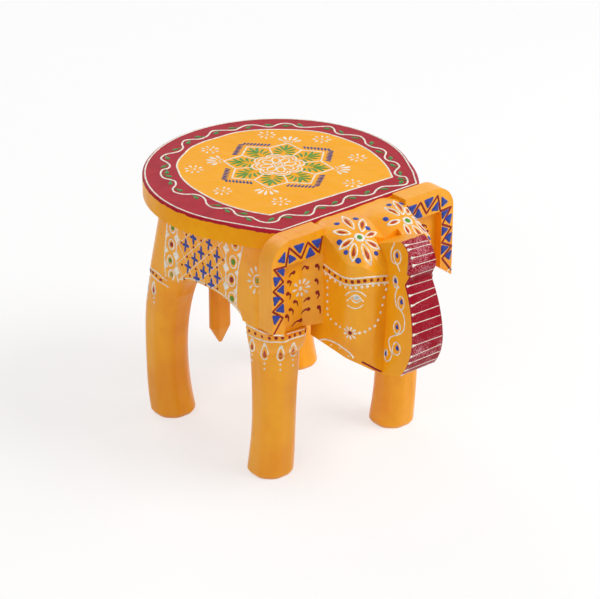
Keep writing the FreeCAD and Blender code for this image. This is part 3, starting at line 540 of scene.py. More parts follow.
class Cone:
    """Raised paint for one part of the stool: strokes, beads and filled shapes, colour by colour."""

    def __init__(self, part, slot, seed):
        self.part = part
        self.slot = slot
        self.hand = random.Random(sizes().seed + seed)
        self.face = None
        self.drawings = {}

    def drawing(self, colour):
        return self.drawings.setdefault(colour, {"points": [], "edges": [], "shapes": []})

    def on(self, face):
        self.face = face

    def unsteady(self, spread):
        return 1 + self.hand.uniform(-spread, spread)

    def stroke(self, colour, way, half, profile=even, closed=False, relief=None):
        """A stroke along a way of flat points, as wide as its profile says."""
        drawing = self.drawing(colour)
        relief = relief or sizes().relief / MM
        last = None
        first = None
        total = max(len(way) - 1, 1)
        broad = half * self.unsteady(STROKE_WAVER) * sizes().width
        for number, (u, v) in enumerate(way):
            spot = self.face.touch(u, v)
            before = None if last is None else drawing["points"][last][0]
            if spot is None or (before is not None and (spot[0] - before).length > JUMP * MM):
                last = None
                continue
            width = broad * profile(number / total) * self.unsteady(POINT_WAVER)
            drawing["points"].append((*spot, width * MM, relief * MM, False))
            here = len(drawing["points"]) - 1
            if last is not None:
                drawing["edges"].append((last, here))
            elif number == 0:
                first = here
            last = here
        if closed and first is not None and last is not None and last != first:
            drawing["edges"].append((last, first))

    def line(self, colour, points, half, closed=False, sharp=False):
        way = (corners if sharp else spline)(points, sizes().step / MM, closed)
        self.stroke(colour, way, half, even, closed)

    def dot(self, colour, point, radius, relief=None):
        spot = self.face.touch(*point)
        if spot is None:
            return
        radius *= self.unsteady(BEAD_WAVER)
        height = (relief or sizes().bead_relief / MM) * min(1, radius / SMALL_BEAD)
        self.drawing(colour)["points"].append((*spot, radius * MM, height * MM, True))

    def dots(self, colour, points, radius):
        for point in points:
            self.dot(colour, point, radius)

    def drop(self, colour, tail, head, half, curl=0.0, profile=tear):
        """A drop from its thin tail to its head, bent sideways by a share of its length."""
        middle = turned(between(tail, head, 0.5), heading(tail, head), 0, curl * apart(tail, head))
        self.stroke(colour, spline([tail, middle, head], min(sizes().step / MM, DROP_STEP)), half, profile)

    def spoke(self, colour, centre, angle, inner, outer, half, curl=0.0, profile=tear):
        """A drop that points away from a centre, between two distances from it."""
        self.drop(colour, turned(centre, angle, inner), turned(centre, angle, outer), half, curl, profile)

    def almond(self, colour, start, end, half, line, blunt):
        """The outline of a petal, pointed at its start and as blunt as asked at its end."""
        angle = heading(start, end)
        reach = apart(start, end)
        rim = []
        for number in range(16):
            turn = FULL_TURN * number / 16
            share = (1 - math.cos(turn)) / 2
            swell = math.sin(turn) * (1 - blunt * (1 - share) * 0.8)
            sharpen = abs(math.sin(turn)) ** (0.6 * (1 - blunt))
            rim.append(turned(start, angle, share * reach, half * swell * sharpen))
        self.stroke(colour, spline(rim, RING_STEP, True), line, even, True)

    def ring(self, colour, centre, half_u, half_v, line, angle=0):
        rim = oval(centre, 12, half_u, half_v, angle)
        self.stroke(colour, spline(rim, RING_STEP, True), line, even, True)

    def shape(self, colour, rim, relief=0.3):
        """A filled shape with soft edges, laid on the wood inside a rim of flat points."""
        rim = [(u + self.hand.uniform(-0.2, 0.2), v + self.hand.uniform(-0.2, 0.2)) for u, v in rim]
        rim = (spline if len(rim) > 4 else corners)(rim, SHAPE_STEP, True)
        centre = middle_of(rim)
        rings = []
        for share, height in ((1.0, -SHAPE_LIP), (0.96, relief * 0.5), (0.82, relief)):
            ring = [self.face.touch(*between(centre, point, share)) for point in rim]
            if None in ring:
                return
            rings.append([place + normal * height * MM for place, normal in ring])
        middle = self.face.touch(*centre)
        if middle is None:
            return
        place, normal = middle
        top = place + normal * relief * 1.1 * MM
        floor = place - normal * SHAPE_ROOT * MM
        self.drawing(colour)["shapes"].append((rings, top, floor))

    def daisy(self, colour, centre, radius, petals, half, inner, start=0.0):
        """Drops round a centre, their heads outward."""
        for number in range(petals):
            angle = start + FULL_TURN * number / petals + self.hand.uniform(-PETAL_WAVER, PETAL_WAVER)
            self.spoke(colour, centre, angle, radius * inner, radius * self.unsteady(PETAL_WAVER), half)


# What each point of a drawing carries, and how the mesh stores it
FIELDS = (
    ("outward", "FLOAT_VECTOR", "vector"),
    ("half_width", "FLOAT", "value"),
    ("relief", "FLOAT", "value"),
    ("bead", "BOOLEAN", "value"),
)


def drawn_pieces(cone, tree, paints):
    """Turns a cone's drawings into plain meshes, one for each colour."""
    for colour, drawing in cone.drawings.items():
        piece = swept(f"{cone.part}_{colour}", drawing, tree, paints[colour])
        if drawing["shapes"]:
            add_shapes(piece.data, drawing["shapes"])
        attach(piece, "root")


def swept(name, drawing, tree, paint):
    """One colour's strokes and beads as a plain mesh."""
    points = drawing["points"]
    mesh = bpy.data.meshes.new(name)
    mesh.from_pydata([point[0] for point in points], drawing["edges"], [])
    for column, (field, kind, member) in enumerate(FIELDS, 1):
        attribute = mesh.attributes.new(field, kind, "POINT")
        for item, point in zip(attribute.data, points):
            setattr(item, member, point[column])
    piece = placed(name, mesh)
    modifier = piece.modifiers.new("Raised paint", "NODES")
    modifier.node_group = tree
    names = {item.name: item.identifier for item in tree.interface.items_tree if item.in_out == "INPUT"}
    modifier[names["Stroke sides"]] = sizes().stroke_sides
    modifier[names["Bead sides"]] = sizes().bead_sides
    modifier[names["Paint"]] = paint
    result = bpy.data.meshes.new_from_object(piece.evaluated_get(bpy.context.evaluated_depsgraph_get()))
    piece.modifiers.clear()
    piece.data = result
    result.name = name
    result.materials.clear()
    result.materials.append(paint)
    for field in (*(field for field, _, _ in FIELDS), "core"):
        if field in result.attributes:
            result.attributes.remove(result.attributes[field])
    return piece


def placed(name, data):
    """A new object in the scene."""
    thing = bpy.data.objects.new(name, data)
    bpy.context.scene.collection.objects.link(thing)
    return thing


def add_shapes(mesh, shapes):
    """Adds the filled shapes to a mesh, each closed below."""
    build = bmesh.new()
    build.from_mesh(mesh)
    for rings, top, floor in shapes:
        rows = [[build.verts.new(place) for place in ring] for ring in rings]
        peak = build.verts.new(top)
        base = build.verts.new(floor)
        faces = []
        count = len(rows[0])
        for number in range(count):
            after = (number + 1) % count
            for low, high in zip(rows, rows[1:]):
                faces.append(build.faces.new((low[number], low[after], high[after], high[number])))
            faces.append(build.faces.new((rows[-1][number], rows[-1][after], peak)))
            faces.append(build.faces.new((rows[0][after], rows[0][number], base)))
        bmesh.ops.recalc_face_normals(build, faces=faces)
        for face in faces:
            face.smooth = True
    build.to_mesh(mesh)
    build.free()


def raised_paint_tree():
    """Sweeps strokes into soft ridges and sets a bead on every dot, both pressed flat onto the wood."""
    tree = bpy.data.node_groups.new("Raised paint", "GeometryNodeTree")
    for name, kind in (
        ("Drawing", "NodeSocketGeometry"),
        ("Stroke sides", "NodeSocketInt"),
        ("Bead sides", "NodeSocketInt"),
        ("Paint", "NodeSocketMaterial"),
    ):
        tree.interface.new_socket(name, in_out="INPUT", socket_type=kind)
    tree.interface.new_socket("Raised", in_out="OUTPUT", socket_type="NodeSocketGeometry")
    given = grow(tree, "NodeGroupInput").outputs

    def shaped(kind, sockets=None, settings=None):
        return grow(tree, f"GeometryNode{kind}", settings, sockets).outputs[0]

    def field(name, kind="FLOAT"):
        return shaped("InputNamedAttribute", {"Name": name}, {"data_type": kind})

    def cored(geometry):
        sockets = {"Geometry": geometry, "Name": "core", "Value": shaped("InputPosition")}
        return shaped("StoreNamedAttribute", sockets, {"data_type": "FLOAT_VECTOR"})

    def number(operation, first, second):
        return grow(tree, "ShaderNodeMath", {"operation": operation}, {0: first, 1: second}).outputs[0]

    def vector(operation, sockets, output="Vector"):
        return grow(tree, "ShaderNodeVectorMath", {"operation": operation}, sockets).outputs[output]

    drawing = {"Mesh": given["Drawing"]}
    section = shaped("CurvePrimitiveCircle", {"Resolution": given["Stroke sides"], "Radius": 1.0})
    sockets = {"Curve": cored(shaped("MeshToCurve", drawing)), "Profile Curve": section, "Fill Caps": True}
    ridges = shaped("CurveToMesh", {**sockets, "Scale": field("half_width")})

    spots = cored(shaped("MeshToPoints", {**drawing, "Selection": field("bead", "BOOLEAN")}))
    ball = shaped("MeshUVSphere", {"Segments": given["Bead sides"], "Rings": 5, "Radius": 1.0})
    beads = shaped("InstanceOnPoints", {"Points": spots, "Instance": ball, "Scale": field("half_width")})
    beads = shaped("RealizeInstances", {"Geometry": beads})

    joined = grow(tree, "GeometryNodeJoinGeometry")
    for part in (ridges, beads):
        tree.links.new(part, joined.inputs[0])

    outward = field("outward", "FLOAT_VECTOR")
    arm = vector("SUBTRACT", {0: shaped("InputPosition"), 1: field("core", "FLOAT_VECTOR")})
    rise = vector("DOT_PRODUCT", {0: arm, 1: outward}, "Value")
    share = number("MINIMUM", number("DIVIDE", field("relief"), field("half_width")), 0.9)
    press = number("MULTIPLY", rise, number("SUBTRACT", share, 1.0))
    shift = vector("SCALE", {0: outward, "Scale": press})
    pressed = shaped("SetPosition", {"Geometry": joined.outputs[0], "Offset": shift})
    smooth = shaped("SetShadeSmooth", {"Geometry": pressed})
    whole = shaped("RealizeInstances", {"Geometry": smooth})
    painted = shaped("SetMaterial", {"Geometry": whole, "Material": given["Paint"]})
    grow(tree, "NodeGroupOutput", None, {"Raised": painted})
    return tree


def the_tree():
    return bpy.data.node_groups.get("Raised paint") or raised_paint_tree()


def cone_paints():
    """The paints of the cone, made once."""
    made = {}
    for colour in CONE_COLOURS:
        name = f"Cone paint {colour}"
        made[colour] = bpy.data.materials.get(name) or bead_paint(name, tuple(getattr(colours(), colour)))
    return made


def dress(nodes, material):
    """Gives frame pieces their paint."""
    for name in nodes:
        for slot in NODES[name].material_slots:
            slot.material = material


# Drawings, in millimetres: the seat

FIELD_RIM = (
    (-53.6, -24.8), (-62, -8.4), (-67.4, 11.2), (-68.5, 28.7), (-67.2, 49.6), (-63.2, 66.1), (-57.8, 77.7),
    (-52.5, 86.9), (-44.9, 94.3), (-35.5, 100.5), (-24.4, 106.8), (-10.4, 109.5), (0.3, 109.3),
    (19.3, 108.2), (35.4, 101.7), (49.5, 91.3), (61, 80), (70.1, 67.2), (75, 48.8), (76.7, 28.5),
    (73.9, 9.1), (66.6, -12.4), (56.9, -29.8),
)
VINE = (
    (-71, 81.8), (-73.6, 74.6), (-71.6, 69), (-70.8, 64.4), (-74.1, 59.2), (-80, 54.8), (-82.3, 48.9),
    (-79.2, 42), (-74.1, 37.8), (-71.8, 32.6), (-72.8, 25.8), (-76.6, 18.7), (-77.4, 11.7), (-74.1, 6.5),
    (-69.1, 2.4), (-69.2, -2.5), (-71.2, -8.3), (-70.4, -13.9), (-66, -18.8), (-65.9, -23.8),
    (-65.3, -29.7), (-61.9, -34.4), (-55.7, -35.8), (-49.7, -32.1), (-43.7, -32), (-38.8, -37.4),
    (-32.5, -42.5), (-27.4, -41.2), (-21.5, -36.2), (-16.6, -34.6), (-8.2, -41.5), (-1.1, -41.6),
    (5.9, -36.1), (12.3, -35.6), (20.2, -42), (26.9, -43.2), (33.1, -39.6), (40.3, -38.3), (46.8, -42.1),
    (54.8, -45.7), (60.3, -42.9), (64.5, -36), (62, -31.9), (62.2, -26.7), (66.3, -22.6), (73.9, -18.3),
    (76.3, -11.2), (74.3, -5), (76.3, 1), (83.3, 7.6), (84.7, 14.2), (81.8, 21.2), (82.1, 28.9),
    (86.5, 36.3), (87.9, 43.1), (84.3, 49.3), (79, 55.1), (78.4, 60.4), (82.1, 67.1), (82.2, 72.5),
    (75.8, 77.1), (67.4, 82.3), (62.9, 87.6), (62.9, 93.9), (59.8, 98.4), (54.7, 100.5), (48.4, 99.8),
    (44.6, 102), (39.9, 110.3), (34.2, 114.4), (28.2, 113.9), (21.8, 112.8), (14.6, 117.8), (8.7, 121.7),
    (5.1, 121.2), (-1.7, 116.7), (-9.1, 115.5), (-15.1, 119), (-20.5, 120.6), (-25.8, 116.4), (-29, 110.6),
    (-34.9, 107), (-40.2, 107.1), (-46.8, 108.3), (-52.6, 106.1), (-54.8, 102.4), (-55, 95.7),
    (-56.5, 90.1), (-60.6, 86.7), (-65.7, 86.9),
)
SEAT_DAISIES = (
    (34.7, 89.7), (61.5, 56.7), (59.7, 13), (27.2, -20.2), (-33.4, -11.9), (-54.4, 28.8), (-47.1, 73),
    (-16, 94.3),
)
# The plank: the middle and radius of its round rear, a front corner and how far a flank swells
SEAT_REAR = (0, 33.9)
SEAT_RADIUS = 99.3
SEAT_ARC = (-30, 210)  # degrees
SEAT_FACETS = 48
SEAT_CORNER = (-64.3, -51.5)
FLANK_SWELL = 1.1
BORDER_INSET = 2.1
BORDER_LINE = 0.62
FIELD_LINE = 0.65
VINE_LINE = 0.72
BAND_LINE = 0.6
STAR_CENTRE = (6, 40)
STAR_TIP = 41.3
STAR_NOTCH = 32.5
BEND_STEPS = 7
BEND_DEPTH = 0.8
LEAF_AWAY = 4.3
LEAF_LEAN = 0.45
PALM_ROOT = 20.8
SCALLOP_LINE = 0.58
DASH_OUTSIDE = 4.6
STAR_TURN = math.radians(-4)
# Each palm stroke: how far up the stem, lean, reach and half width
PALM_STROKES = (
    (4.2, 0.46, 11.4, 1.35), (2.4, 0.80, 10.4, 1.35), (0.7, 1.14, 9.0, 1.3), (-0.8, 1.54, 7.2, 1.15),
)
# Each stroke of a white fan: lean and reach
FAN_STROKES = ((0, 13.2), (0.42, 13), (-0.42, 13), (0.88, 11.4), (-0.88, 11.4))
# Shares of a scallop's spread and rise
SCALLOP = ((-1, 0), (-0.8, 0.55), (-0.4, 0.92), (0, 1), (0.4, 0.92), (0.8, 0.55), (1, 0))


def seat_outline(inset):
    """The plank's outline, some way inside its edge: a round rear, two flanks and a chord."""
    rim = []
    first, last = SEAT_ARC
    for number in range(SEAT_FACETS + 1):
        turn = math.radians(first + (last - first) * number / SEAT_FACETS)
        rim.append(turned(SEAT_REAR, turn, SEAT_RADIUS - inset))
    u, v = SEAT_CORNER
    corner = (u + inset * 0.62, v + inset)
    flank = flank_points(rim[-1], corner)
    mirrored = [(-u, v) for u, v in reversed([*flank, corner])]
    return [*rim, *flank, corner, *mirrored]


def flank_points(start, end):
    """Points of the shallow flank between the round rear and a front corner."""
    middle = between(start, end, 0.5)
    out = turned(middle, heading(start, end) - math.pi / 2, FLANK_SWELL)
    return [between(start, out, 0.5), out, between(out, end, 0.5)]


def draw_seat(cone):
    cone.on(Face(["seat_board"], *FROM_ABOVE))
    cone.line("cream", seat_outline(BORDER_INSET), BORDER_LINE, True, True)
    cone.stroke("cream", field_rim(), FIELD_LINE, even, True)
    cone.line("cream", VINE, VINE_LINE, True)
    draw_leaves(cone)
    draw_star(cone)
    draw_rosette(cone)
    for centre in SEAT_DAISIES:
        cone.daisy("cream", centre, radius=7.2, petals=8, half=1.05, inner=0.5, start=cone.hand.uniform(0, 1))
        cone.dot("cream", centre, 0.9)
        cone.dots("cream", [turned(centre, number * 2.1 + 0.4, 1.9) for number in range(3)], 0.5)


def field_rim():
    """The edge of the orange field: a smooth round and a straight chord that meet in two corners."""
    return spline(FIELD_RIM, 1.2) + corners([FIELD_RIM[-1], FIELD_RIM[0]], 1.2)[1:-1]


def draw_leaves(cone):
    """A leaf with a thin curved stem in every hollow of the vine."""
    way = spline(VINE, 1.0, True)
    count = len(way)
    bends = []
    for index in range(count):
        before, here, after = (way[(index + shift) % count] for shift in (-BEND_STEPS, 0, BEND_STEPS))
        middle = between(before, after, 0.5)
        bends.append((apart(here, middle), heading(here, middle), heading(before, after), here))
    for index, (depth, inward, along, here) in enumerate(bends):
        deepest = max(bends[(index + shift) % count][0] for shift in range(1 - BEND_STEPS, BEND_STEPS))
        if depth < BEND_DEPTH or depth < deepest:
            continue
        lean = along + (LEAF_LEAN if math.sin(inward - along) > 0 else -LEAF_LEAN)
        middle = turned(here, inward, LEAF_AWAY)
        cone.spoke("moss", middle, lean, -1.8, 3.6, 1.75, 0.05, spindle)
        cone.drop("moss", turned(middle, lean, -4.2), middle, 0.5, 0.14, even)


def draw_star(cone):
    tips, notches = (
        [turned(STAR_CENTRE, STAR_TURN + FULL_TURN * (number + ahead) / 8, radius) for number in range(8)]
        for radius, ahead in ((STAR_TIP, 0), (STAR_NOTCH, 0.5))
    )
    cone.line("cream", [point for pair in zip(tips, notches) for point in pair], BORDER_LINE, True, True)
    for number, (tip, notch) in enumerate(zip(tips, notches)):
        cone.line("cream", [notch, between(STAR_CENTRE, notch, 0.62)], BAND_LINE)
        angle = STAR_TURN + FULL_TURN * number / 8
        leaf_fan(cone, angle)
        if number % 2:
            white_fan(cone, tip, angle)
        else:
            chevron(cone, notches[number - 1], tip)
            chevron(cone, notch, tip)


def leaf_fan(cone, angle):
    """A green palm leaf of nine fat strokes in one point of the star."""
    root = turned(STAR_CENTRE, angle, PALM_ROOT)
    cone.spoke("green", root, angle, 5, 17.2, 1.4)
    for stem, lean, reach, half in PALM_STROKES:
        for side in SIDES:
            start = turned(root, angle, stem, side * 0.3)
            cone.spoke("green", start, angle + side * lean, 0.8, reach, half, -side * 0.09)


def white_fan(cone, tip, angle):
    """A fan of white strokes and dots beyond a point of the star."""
    for lean, reach in FAN_STROKES:
        cone.spoke("cream", tip, angle + lean, 4.8, reach, 1.35)
    for lean in (-1.2, -0.7, -0.22, 0.22, 0.7, 1.2):
        cone.dot("cream", turned(tip, angle + lean, 3.3), 0.6)


def chevron(cone, notch, tip):
    """Short blue dashes in a row outside one edge of the star."""
    along = heading(notch, tip)
    out = along + (math.pi / 2 if math.sin(along - heading(STAR_CENTRE, tip)) < 0 else -math.pi / 2)
    first = turned(notch, out, DASH_OUTSIDE)
    last = turned(turned(tip, out, DASH_OUTSIDE), along, 4.4)
    lean = out + (0.35 if math.sin(out - along) > 0 else -0.35)
    for number in range(8):
        cone.spoke("navy", between(first, last, (number + 0.5) / 8), lean, -2.4, 3.1, 1.15)


def draw_rosette(cone):
    for number in range(8):
        angle = STAR_TURN + FULL_TURN * (number + 0.5) / 8
        cone.ring("cream", turned(STAR_CENTRE, angle, 9.0), 4.4, 2.9, BAND_LINE, angle)
        for spread, low, high in ((0.39, 14.6, 19.6), (0.31, 13.6, 16.6)):
            arc = [(angle + spread * lean, low + (high - low) * rise) for lean, rise in SCALLOP]
            cone.line("cream", [turned(STAR_CENTRE, turn, radius) for turn, radius in arc], SCALLOP_LINE)
    cone.ring("cream", STAR_CENTRE, 3.0, 3.0, 0.55)
    cone.dot("cream", STAR_CENTRE, 0.8)


# The sides of the body

# Each oval: its middle and the colour of its heart
REAR_OVALS = (
    (63.6, 167.3, "green"), (63.3, 154.4, "maroon"), (63.4, 141.7, "green"), (60.5, 131.4, "olive"),
)
FRONT_OVALS = (
    (-9.5, 180.9, "maroon"), (-9, 166.9, "green"), (-8.9, 153.1, "maroon"), (-11.3, 139.7, "green"),
)
REAR_LINES = (
    ((70.5, 186), (70.4, 160), (70, 140), (67, 128)),
    ((57.8, 186), (58.2, 172), (57, 150), (55, 137), (51.7, 129)),
)
FRONT_LINES = (
    ((-18.5, 186), (-16.8, 175), (-15.4, 165), (-15.4, 152), (-17.3, 134)),
    ((1.8, 186), (-0.7, 165), (-2.7, 151), (-4.7, 135)),
)
CROSSES = (
    (46.6, 159.6), (38.5, 168.3), (42, 144.6), (35, 153), (28.2, 160.5), (20, 170.4), (30.7, 139.6),
    (23.7, 147), (16.8, 153.9), (13.4, 141), (50.6, 174.5), (9.8, 164.4), (30.5, 177.5), (7.2, 149),
)
SPECKS = (
    (46.9, 167.9), (52, 159.8), (29.1, 169.4), (37.3, 161.4), (44, 151.7), (49.1, 143.6), (32.6, 146.2),
    (38.7, 138.7), (25.2, 153.1), (18.9, 162.2), (10.2, 171), (8.5, 156.2), (15.7, 147.2), (6, 140.8),
    (19.5, 138.7), (44.9, 134), (2.5, 164.3), (40.5, 176.5), (20.5, 179),
)
# The belly's arch is half an oval over its foot
ARCH_FOOT = 128
ARCH_RISE = 9.8
ARCH_MIDDLE = 12.5
ARCH_HALF = 37.5
LATTICE_MIDDLE = 24
LATTICE_GAP = 15.5
LATTICE_LINE = 0.24
LATTICE_RELIEF = 0.18
SHOULDER_DAISY = (-36.7, 162.4)


def side_face(side):
    pieces = ["body_block", *(of_side(f"leg_{end}", side) for end in ("front", "rear"))]
    return Face(pieces, *FROM_SIDE, side)


def draw_side(cone, side):
    cone.on(side_face(side))
    for line in (*REAR_LINES, *FRONT_LINES):
        cone.line("cream", line, BAND_LINE)
    for row, lines, outer, size in ((REAR_OVALS, REAR_LINES, 1, 1.0), (FRONT_OVALS, FRONT_LINES, -1, 1.2)):
        for u, v, colour in row:
            cone.ring("cream", (u, v), 3.3 * size, 3.8 * size, FIELD_LINE)
            cone.shape(colour, oval((u, v), 8, 1.9 * size, 1.9 * size), 0.4)
        draw_teeth(cone, row, lines, outer)
    draw_lattice(cone)
    draw_shoulder(cone)
    cone.line("cream", [(u, arch_level(u) + 1.4) for u in range(-23, 50, 3)], 0.4)


def arch_level(u):
    """Height of the belly's arch."""
    return ARCH_FOOT + ARCH_RISE * math.sqrt(max(0, 1 - ((u - ARCH_MIDDLE) / ARCH_HALF) ** 2))


def draw_teeth(cone, row, lines, outer):
    """White teeth between the ovals: triangles on the outer border line, diamonds on the inner one."""
    heights = [v for _, v, _ in row]
    levels = [heights[0] + 6, *((high + low) / 2 for high, low in zip(heights, heights[1:])), heights[-1] - 6]
    outside, inside = sorted(lines, key=lambda line: -outer * line[0][0])
    teeth = ((outside, -outer, 3.3, 0.2, 4.3), (inside, outer, 4.1, 3.9, 4.0))
    for v in levels:
        for line, inward, half, back, ahead in teeth:
            u = level_point(line, v)
            rim = [(u, v + half), (u - inward * back, v), (u, v - half), (u + inward * ahead, v)]
            cone.shape("cream", rim)


def level_point(line, v):
    """Where a line passes a height."""
    for start, end in zip(line, line[1:]):
        if end[1] <= v <= start[1]:
            return start[0] + (end[0] - start[0]) * (v - start[1]) / (end[1] - start[1])
    return line[-1][0]


def draw_lattice(cone):
    """Thin diagonals, blue crosses in their fields and red specks where they meet."""
    for number in range(-3, 5):
        u = LATTICE_MIDDLE + LATTICE_GAP * number
        for lean in SIDES:
            way = corners([(u - lean * 30, ARCH_FOOT), (u + lean * 30, ARCH_FOOT + 60)], 1.1)
            way = [spot for spot in way if in_lattice(*spot)]
            if len(way) > 2:
                cone.stroke("cream", way, LATTICE_LINE, relief=LATTICE_RELIEF)
    for centre in CROSSES:
        cross(cone, centre)
    cone.dots("maroon", SPECKS, 1.0)


def in_lattice(u, v):
    """Whether a point lies between the inner border lines."""
    return level_point(FRONT_LINES[1], v) < u < level_point(REAR_LINES[1], v)


def cross(cone, centre):
    """Four blue strokes that meet in a cross."""
    turn = cone.hand.uniform(-0.2, 0.05)
    for number in range(4):
        angle = math.pi / 2 * (number + 1) + turn + cone.hand.uniform(-0.12, 0.12)
        cone.spoke("blue", centre, angle, -0.6, 4.2 if number % 2 else 5.4, 1.22, 0, spindle)


def draw_shoulder(cone):
    """A daisy behind the ear: long drops round an olive heart in a ring."""
    for number in range(12):
        cone.spoke("cream", SHOULDER_DAISY, FULL_TURN * number / 12 + 0.2, 6.0, 10.6, 1.15)
    cone.ring("cream", SHOULDER_DAISY, 3.6, 4.2, 0.7)
    cone.shape("olive", oval(SHOULDER_DAISY, 6, 2.3, 2.3))


# The legs

# Where each leg stands on the right side, and the way from the middle to the photo's camera
LEG_AXES = {"front": (-59.4, -35.6), "rear": (-61.2, 87.6)}
VIEW = (-0.563, -0.690, 0.453)
LEG_RADIUS = 24
UPPER_REAR = (
    (-56, 126), (-40, 126), (-24, 126), (-8, 126.2), (-0.3, 126.3), (9.4, 127), (15.6, 125.8),
    (20.3, 121.5),
)
LOWER_REAR = (
    (-56, 119.5), (-40, 120.2), (-24, 121), (-8, 121.6), (1.5, 121.8), (9.9, 120.4), (15.6, 118.3),
    (21.5, 114.4),
)
DOTS_REAR = (
    (-55, 122.8), (-38, 123), (-20, 123.8), (-8, 124), (3.1, 124.6), (7.9, 124.2), (13.1, 122.3),
    (18.8, 119.6),
)
# Each hanging drop: its top, its foot and, ahead of the front leg, its half width
DROPS_REAR = (
    ((5.8, 116.9), (4, 105.6)), ((-8, 116.4), (-8.4, 105)), ((-21, 116), (-21, 104)),
    ((-34, 115), (-34, 103)), ((-47, 114.4), (-47, 102.4)),
)
UPPER_BEHIND = ((-44, 125.5), (-30, 126), (-14, 126.3), (-6.5, 126.6))
UPPER_AHEAD = (
    (-79.5, -30, 126.6), (-79.5, -38.8, 127), (-79.5, -49.4, 127.9), (-77.4, -54.8, 128),
    (-80.5, -66, 132.9), (-74.7, -66, 130.8), (-65.6, -62, 128), (-60.3, -62.6, 128), (-53.9, -63.6, 128),
    (-47.5, -64.6, 128),
)
LOWER_FRONT = (
    (-44, 118), (-30, 118), (-14, 118.6), (-1.9, 119.2), (6.9, 119.9), (14.9, 121.4), (20.6, 123.4),
    (26.7, 123.8), (30.6, 125.4), (35.1, 125.2), (41, 124.6), (50, 124), (58, 124),
)
DOTS_BEHIND = ((-43, 121.8), (-25, 122), (-10, 122.4))
DOTS_AHEAD = (
    (-3.5, 122.6), (4.9, 123.2), (12.9, 124), (19, 125.9), (23, 126.6), (26.6, 127), (30.5, 127.4),
    (34.1, 127.4), (37.9, 127.3), (43.3, 126),
)
DROPS_BEHIND = (((-28, 115), (-28, 103.5)), ((-15.5, 115.4), (-15.5, 104)))
DROPS_AHEAD = (
    ((-78.9, -35.5, 117.2), (-76.6, -32.3, 105.2), 2.5), ((-79.1, -50.4, 119.3), (-75.3, -45, 103.1), 3.5),
    ((-73.3, -61.7, 120), (-67.2, -52.9, 102.8), 3.3), ((-64.9, -65.3, 121.2), (-56.6, -54, 103.4), 3.3),
)
LEG_BEAD = 1.3
LEG_DROP = 3.4
HANGING_LINE = 0.58
# The upper and lower line, the dots and the drops round each leg
LEG_BANDS = {
    "front": (UPPER_BEHIND, LOWER_FRONT, [*paced(DOTS_BEHIND, 5), *DOTS_AHEAD], DROPS_BEHIND),
    "rear": (UPPER_REAR, LOWER_REAR, paced(DOTS_REAR, 4.9), DROPS_REAR),
}


def draw_leg(cone, end, side):
    """A band of dots between two lines round the top of a leg, with outlined drops under it."""
    pieces = [of_side(f"leg_{end}", side), "body_block"] + ([of_side("ear", side)] if end == "front" else [])
    cone.on(Round(pieces, LEG_AXES[end], LEG_RADIUS, side))
    upper, lower, dots, drops = LEG_BANDS[end]
    cone.line("cream", upper, BAND_LINE)
    cone.line("cream", lower, BAND_LINE)
    cone.dots("maroon", dots, LEG_BEAD)
    for top, foot in drops:
        hanging_drop(cone, top, foot, LEG_DROP)
    if end == "front":
        face = facing(pieces, VIEW, side)
        cone.on(face)
        cone.line("cream", face.flats(UPPER_AHEAD), BAND_LINE)
        for top, foot, half in DROPS_AHEAD:
            hanging_drop(cone, face.flat(top), face.flat(foot), half)


def hanging_drop(cone, top, foot, half):
    """An outlined drop with a white bead on top, a dark stroke inside and two dots under it."""
    cone.almond("cream", top, foot, half, HANGING_LINE, 0.8)
    cone.drop("cream", between(top, foot, 0.2), between(top, foot, -0.06), 1.5)
    cone.drop("rust", between(top, foot, 0.4), between(top, foot, 0.88), 1.5)
    cone.dots("cream", ((foot[0], foot[1] - 2.8), (foot[0], foot[1] - 6.8)), 0.9)


# The ears

ZIGZAG = (
    (-86, 131), (-75.2, 145), (-84.4, 152.7), (-74.6, 158.1), (-83.6, 168.1), (-74.5, 172.9),
    (-82.9, 184.9), (-72.3, 184.2), (-69.3, 197.6), (-58.5, 186.3), (-52.7, 196.9), (-42.3, 185.8),
    (-39.5, 198),
)
EAR_TRIANGLES = (
    ((-79.2, 190.2), (-73.4, 187.4), (-73.2, 195.6)), ((-69.5, 192.6), (-63.2, 187.4), (-69.8, 185.6)),
    ((-65.2, 197.5), (-56.2, 197.3), (-59.8, 190.4)), ((-54.6, 185), (-50.6, 192.6), (-46, 185.4)),
    ((-49, 196.6), (-40.8, 196.4), (-43.6, 189.6)), ((-80.2, 183.4), (-73.6, 183.2), (-74.4, 177.2)),
    ((-83.6, 179.2), (-76.6, 177.2), (-81.8, 171.4)), ((-80.4, 167.6), (-74.6, 170.8), (-74.2, 163.6)),
    ((-83.8, 163.8), (-76.8, 161.8), (-82.4, 156.4)), ((-81.6, 152.6), (-74.6, 156), (-74.2, 148.8)),
    ((-84.4, 149.4), (-77.6, 146.8), (-82.6, 141.8)),
)
# Each comma: head, waist and tail
COMMAS = (
    ((-60.4, 173.6), (-63.3, 173.2), (-64.8, 170.9)), ((-49.2, 174.3), (-51.2, 175.8), (-53.2, 172.9)),
    ((-42.6, 174.8), (-41.1, 173.3), (-41.3, 170.6)), ((-65.2, 167.8), (-63, 166.9), (-64.2, 163.7)),
    ((-43, 163.6), (-41.9, 162.3), (-41.8, 159.6)), ((-65.9, 158.6), (-63.4, 156.9), (-64.3, 153.4)),
    ((-42.2, 153.6), (-40.9, 151.3), (-42.6, 148.8)), ((-59.8, 150.4), (-57.5, 149.4), (-56.8, 145.9)),
    ((-48.4, 149.9), (-49.9, 149.8), (-52, 147.6)), ((-41.1, 141.7), (-40.1, 139.8), (-40.2, 136.2)),
    ((-63.7, 145.5), (-61.2, 143.8), (-61.5, 140.5)), ((-48.4, 141.4), (-51.2, 141.3), (-54, 138.4)),
    ((-66.9, 141.2), (-65.3, 140), (-65.5, 136.4)), ((-54.2, 133.8), (-58.6, 134), (-62.6, 131.2)),
)
